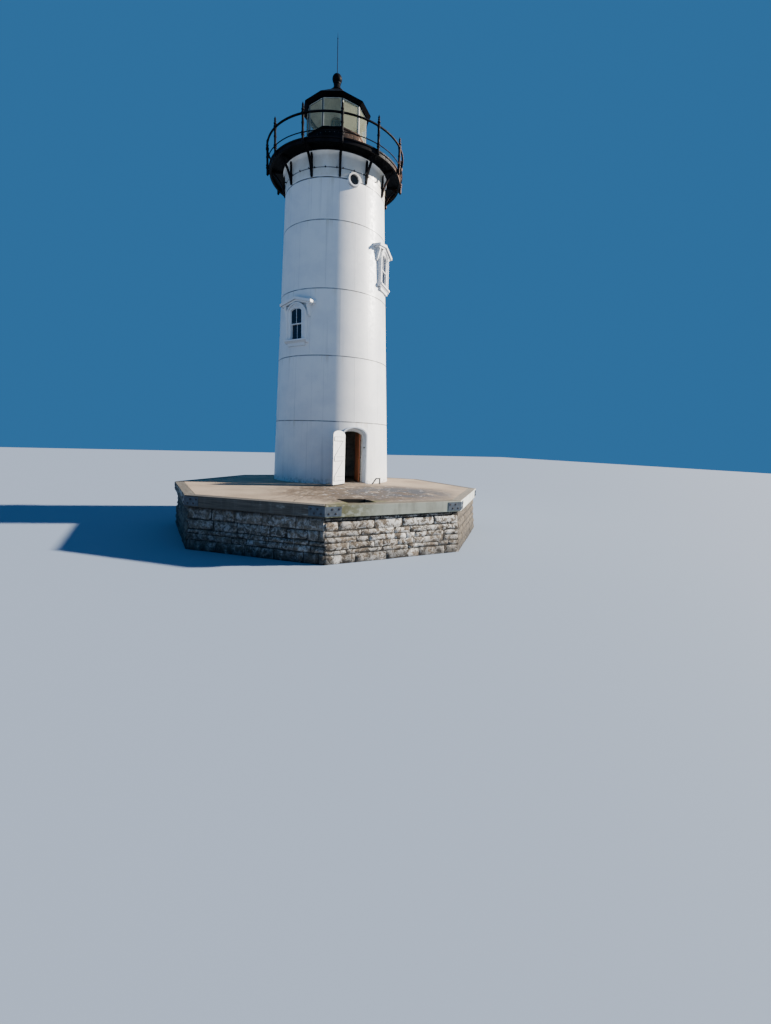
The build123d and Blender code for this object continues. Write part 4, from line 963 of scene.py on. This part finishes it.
def addFraming(shape, near, far, braceFar, spread, place):
    # the battens and the braces between them, with this much more on their long edges
    half = doors["halfWidth"] - doors["battenInset"]
    high, lean = doors["battenWidth"] / 2, doors["battenWidth"]
    for middle in doors["battens"]:
        shape.block((-half, near, middle - high - spread), (half, far, middle + high + spread), place)
    for low, top in zip(doors["battens"], doors["battens"][1:]):
        start, end = low + high + spread + 0.001, top - high - spread - 0.001
        outline = [(half, start), (half - lean - spread, start), (-half, end), (-half + lean + spread, end)]
        shape.prism(outline, near, braceFar, place)


def makeOuterLeaf():
    place = swung(doors["outerPin"], doors["outerTurn"])
    near = doors["thickness"] - doors["face"]
    far = near + doors["battenThickness"]
    leaf, framing, battenShadow, nails = Shape(), Shape(), Shape(), Shape()
    addBoards(leaf, doors["outerRise"], -doors["face"], near, place)
    boards = leaf.piece("outerLeafBoards", doorWhite, body="outer_door_leaf", slotName="white_boards")
    softEdges(boards, 0.004, 2)
    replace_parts(boards, "outer_door")
    # a dark outline a little wider than the battens and braces, just behind them: painted shadow along their
    # edges
    addFraming(battenShadow, near - 0.001, near + 0.0015, near + 0.0015, doors["battenShadow"], place)
    battenShadow.piece("outerLeafBattenShadow", battenShadowPaint, body="outer_door_leaf", slotName="white_boards")
    addFraming(framing, near, far, far - 0.003, 0, place)
    rails = framing.piece("outerLeafBattens", doorWhite, body="outer_door_leaf", slotName="white_boards")
    softEdges(rails, 0.007, 2)
    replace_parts(rails, "outer_door")
    for middle in doors["battens"]:
        for index in range(1, doors["boards"] - 1):
            x = -doors["halfWidth"] + (index + 0.5) * 2 * doors["halfWidth"] / doors["boards"]
            for rise in (-doors["nailRise"], doors["nailRise"]):
                head = place @ Matrix.Translation((x, far, middle + rise))
                nails.lathe(doors["nail"], 8, head @ Matrix.Rotation(math.radians(-90), 4, "X"))
    smoothByAngle(nails.piece("outerLeafNails", hingeIron, body="outer_door_leaf", slotName="hinge_iron"), 40)


def makeInnerLeaf():
    made = Finish("doorVarnish", roughness=0.35, **{"Coat Weight": 0.4, "Coat Roughness": 0.2})
    grain = made.mottle(1.0, 8, 0.6, made.stretched(34, 34, 1.4))
    colour = made.mix(made.span(grain, 0.3, 0.7), doors["varnish"], doors["darkVarnish"])
    varnish = made.done(colour, None, grain, 0.2, 0.001)
    place = swung(doors["innerPin"], doors["innerTurn"])
    leaf = Shape()
    near, far = -doors["innerFace"] - doors["thickness"], -doors["innerFace"]
    addBoards(leaf, doors["innerRise"], near, far, place)
    boards = leaf.piece("innerLeafBoards", varnish, body="inner_door_leaf", slotName="varnished_boards")
    softEdges(boards, 0.004, 2)
    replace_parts(boards, "inner_door")



stop = {
    "half": 0.449, "inner": 0.421, "highRise": 0.279, "lowRise": 0.165,
    "near": -1.99, "far": -1.90, "foot": 0.046, "steps": 28,
}


def makeDoorStop():
    # the strip on both jambs and under a lower arch, which the inner leaf shuts against
    shape = Shape()
    half, inner, foot = stop["half"], stop["inner"], stop["foot"]
    turns = [math.pi * k / stop["steps"] for k in range(stop["steps"] + 1)]
    high = [(half * math.cos(turn), doors["spring"] + stop["highRise"] * math.sin(turn)) for turn in turns]
    low = [(inner * math.cos(turn), doors["spring"] + stop["lowRise"] * math.sin(turn)) for turn in turns]
    outline = [(half, foot)] + high + [(-half, foot), (-inner, foot)] + low[::-1] + [(inner, foot)]
    shape.prism(outline, stop["near"], stop["far"], towerPlace)
    smoothByAngle(shape.piece("doorStop", stopPaint, slotName="reveal_iron"), 30)


scraper = {
    "outline": ((0.665, 0), (0.845, 0.235), (1.035, 0.235), (1.035, 0), (0.985, 0), (0.985, 0.187),
                (0.868, 0.187), (0.725, 0)),
    "near": -2.372, "far": -2.33,
}


def makeScraper():
    shape = Shape()
    shape.prism(scraper["outline"], scraper["near"], scraper["far"], towerPlace)
    bars = shape.piece("scraperBars", scraperIron, slotName="hinge_iron")
    softEdges(bars, 0.004, 2)
    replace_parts(bars, "boot_scraper")


makeOuterLeaf()
makeInnerLeaf()
makeDoorStop()
makeScraper()
print("doors hung")

# the lens: rings of prisms under a cap, in a brass frame, and the pale ceiling over it
lens = {
    "foot": 12.42, "shoulder": 13.02, "top": 13.17, "radius": 0.25, "waist": 0.19, "cap": 0.2,
    "rings": 13, "capRings": 5, "groove": 0.018, "bars": 8, "barRadius": 0.0042,
    "hoops": ((12.432, 0.21), (13.025, 0.205)),
    "barPath": ((0.205, 12.42), (0.25, 12.58), (0.252, 12.72), (0.235, 12.9), (0.2, 13.03),
                (0.13, 13.12), (0.02, 13.16)),
}
ceiling = {"low": 13.27, "high": 13.985, "lowRadius": 1.155, "highRadius": 0.14, "thick": 0.008}
lensGlass = makeGlass("lensGlass", (0.030, 0.075, 0.040), 0.88, 0.12)
lensBrass = makePlain("lensBrass", (0.35, 0.22, 0.07), 0.35, 0.9, 0.5, 30)


def makeLens():
    profile = [(0.0, lens["foot"])]
    for ring in range(lens["rings"]):
        share = (ring + 0.5) / lens["rings"]
        z = lens["foot"] + 0.03 + (lens["shoulder"] - lens["foot"] - 0.03) * share
        step = (lens["shoulder"] - lens["foot"] - 0.03) / lens["rings"] / 2
        bulge = lens["waist"] + (lens["radius"] - lens["waist"]) * math.sin(math.pi * (0.12 + 0.8 * share))
        deep = bulge - lens["groove"]
        profile += [(deep, z - step), (bulge, z - step * 0.4)]
        profile += [(bulge - 0.004, z + step * 0.6), (deep, z + step * 0.95)]
    for ring in range(lens["capRings"]):
        turn = math.pi / 2 * ring / lens["capRings"]
        z = lens["shoulder"] + (lens["top"] - lens["shoulder"]) * math.sin(turn)
        radius = lens["cap"] * math.cos(turn)
        profile += [(radius, z), (radius - 0.012, z + 0.012)]
    profile.append((0.0, lens["top"] - 0.004))
    shape = Shape()
    shape.lathe(profile, 48, towerPlace)
    prisms = shape.piece("lensPrisms", lensGlass, slotName="lens_glass")
    smoothByAngle(prisms, 25)
    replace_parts(prisms, "lens")
    bars = Shape()
    path = [(0, -radius, z) for radius, z in lens["barPath"]]
    for index in range(lens["bars"]):
        bars.tube(path, lens["barRadius"], 6, aroundTower(360 * index / lens["bars"]))
    for z, radius in lens["hoops"]:
        inner, outer = radius - 0.012, radius + 0.008
        hoop = [(inner, z - 0.01), (outer, z - 0.01), (outer, z + 0.01), (inner, z + 0.01), (inner, z - 0.01)]
        bars.lathe(hoop, 48, towerPlace)
    smoothByAngle(bars.piece("lensFrame", lensBrass, slotName="pedestal_iron"), 40)


glazing = {"glassFace": 1.0266, "half": 0.3115, "low": 12.264, "high": 13.154, "width": 0.021, "depth": 0.011}


def makeGlazingBeads():
    # slim pale strips round every sheet of the lantern's glass
    shape = Shape()
    near, far = -glazing["glassFace"] - glazing["depth"], -glazing["glassFace"]
    for side in range(10):
        place = aroundTower(tower["lanternCorner"] + 18 + 36 * side)
        for sign in (-1, 1):
            edges = sorted((sign * glazing["half"], sign * (glazing["half"] - glazing["width"])))
            shape.block((edges[0], near, glazing["low"]), (edges[1], far, glazing["high"]), place)
        run = glazing["half"] - glazing["width"] - 0.0005
        shape.block((-run, near, glazing["low"]), (run, far, glazing["low"] + glazing["width"]), place)
        shape.block((-run, near, glazing["high"] - glazing["width"]), (run, far, glazing["high"]), place)
    softEdges(shape.piece("lanternBeads", beadPaint, slotName="mullion_iron"), 0.003, 1)


wallBolts = {"face": 1.0377, "height": 12.10, "places": (-0.23, -0.08, 0.08, 0.23), "radius": 0.009}


def makeWallBolts():
    # a row of paler bolt heads under the lantern's sill
    shape = Shape()
    for side in range(10):
        for along in wallBolts["places"]:
            place = aroundTower(tower["lanternCorner"] + 18 + 36 * side, wallBolts["face"], wallBolts["height"])
            boltHead(shape, place @ Matrix.Translation((along, 0, 0)), wallBolts["radius"])
    smoothByAngle(shape.piece("lanternBolts", boltPaint, slotName="mullion_iron"), 30)


ventFoot = {
    "profile": ((0.0, 15.447), (0.262, 15.447), (0.262, 15.462), (0.205, 15.49), (0.16, 15.54),
                (0.13, 15.62), (0.112, 15.70), (0.0, 15.70)),
}


def makeVentFoot():
    shape = Shape()
    shape.lathe(ventFoot["profile"], 40, Matrix.Translation((tower["x"], tower["y"], 0)))
    smoothByAngle(shape.piece("ventilatorFoot", lanternIron, slotName="lantern_iron"), 40)


def makeCeiling():
    # the pale cone over the lens
    shape = Shape()
    wide, narrow, thick = ceiling["lowRadius"], ceiling["highRadius"], ceiling["thick"]
    profile = [(wide, ceiling["low"]), (narrow, ceiling["high"]), (narrow - thick, ceiling["high"] - 0.003),
               (wide - 2 * thick, ceiling["low"]), (wide, ceiling["low"])]
    shape.lathe(profile, 10, aroundTower(tower["lanternCorner"]))
    shape.piece("lanternCeiling", ceilingPaint, slotName="mullion_iron")


makeLens()
makeGlazingBeads()
makeWallBolts()
makeVentFoot()
makeCeiling()
print("lens and ceiling made")

# floor, sky and sun
studio = {
    "floorHalf": 90.0, "floorColour": (0.26, 0.32, 0.41), "worldColour": (0.10, 0.42, 1.0), "worldStrength": 0.36,
    "sunDirection": (0.953, -0.3025, 0.46), "sunStrength": 14.0, "sunSoftness": 2.5,
    "sunColour": (1.0, 0.93, 0.84),
}


def makeStage():
    half, level = studio["floorHalf"], -0.001
    corners = [(-half, -half, level), (half, -half, level), (half, half, level), (-half, half, level)]
    mesh = bpy.data.meshes.new("floor")
    mesh.from_pydata(corners, [], [(0, 1, 2, 3)])
    floor = bpy.data.objects.new("floor", mesh)
    bpy.context.scene.collection.objects.link(floor)
    made = Finish("floorPaper", roughness=0.9)
    mesh.materials.append(made.done(studio["floorColour"]))
    world = bpy.data.worlds.new("studio")
    world.use_nodes = True
    background = world.node_tree.nodes["Background"]
    background.inputs["Color"].default_value = (*studio["worldColour"], 1.0)
    background.inputs["Strength"].default_value = studio["worldStrength"]
    bpy.context.scene.world = world
    lamp = bpy.data.lights.new("sun", "SUN")
    lamp.energy = studio["sunStrength"]
    lamp.angle = math.radians(studio["sunSoftness"])
    lamp.color = studio["sunColour"]
    sun = bpy.data.objects.new("sun", lamp)
    sun.rotation_mode = "QUATERNION"
    sun.rotation_quaternion = Vector(studio["sunDirection"]).to_track_quat("Z", "Y")
    bpy.context.scene.collection.objects.link(sun)


# angles in degrees: yaw to the right of the heading, pitch downwards, and roll
view = {
    "place": (-5.768, -14.875, 2.974), "heading": (0.3633, 0.9317), "yaw": 7.015, "pitch": 8.66,
    "roll": 1.924, "lens": 15.82,
}


def makeCamera():
    aim = Matrix.Rotation(math.radians(-view["yaw"]), 3, "Z") @ Vector((*view["heading"], 0))
    aim.normalize()
    up = Vector((0, 0, 1))
    right = aim.cross(up)
    pitch = math.radians(view["pitch"])
    forward = aim * math.cos(pitch) - up * math.sin(pitch)
    above = right.cross(forward)
    roll = math.radians(view["roll"])
    side = right * math.cos(roll) + above * math.sin(roll)
    top = above * math.cos(roll) - right * math.sin(roll)
    data = bpy.data.cameras.new("camera")
    data.lens = view["lens"]
    data.sensor_width = 36
    data.sensor_fit = "AUTO"
    data.dof.use_dof = False
    data.clip_end = 500
    camera = bpy.data.objects.new("camera", data)
    turn = Matrix((side, top, -forward)).transposed().to_4x4()
    camera.matrix_world = Matrix.Translation(view["place"]) @ turn
    bpy.context.scene.collection.objects.link(camera)
    bpy.context.scene.camera = camera


makeStage()
makeCamera()
print("stage and camera set")

bpy.context.view_layer.update()
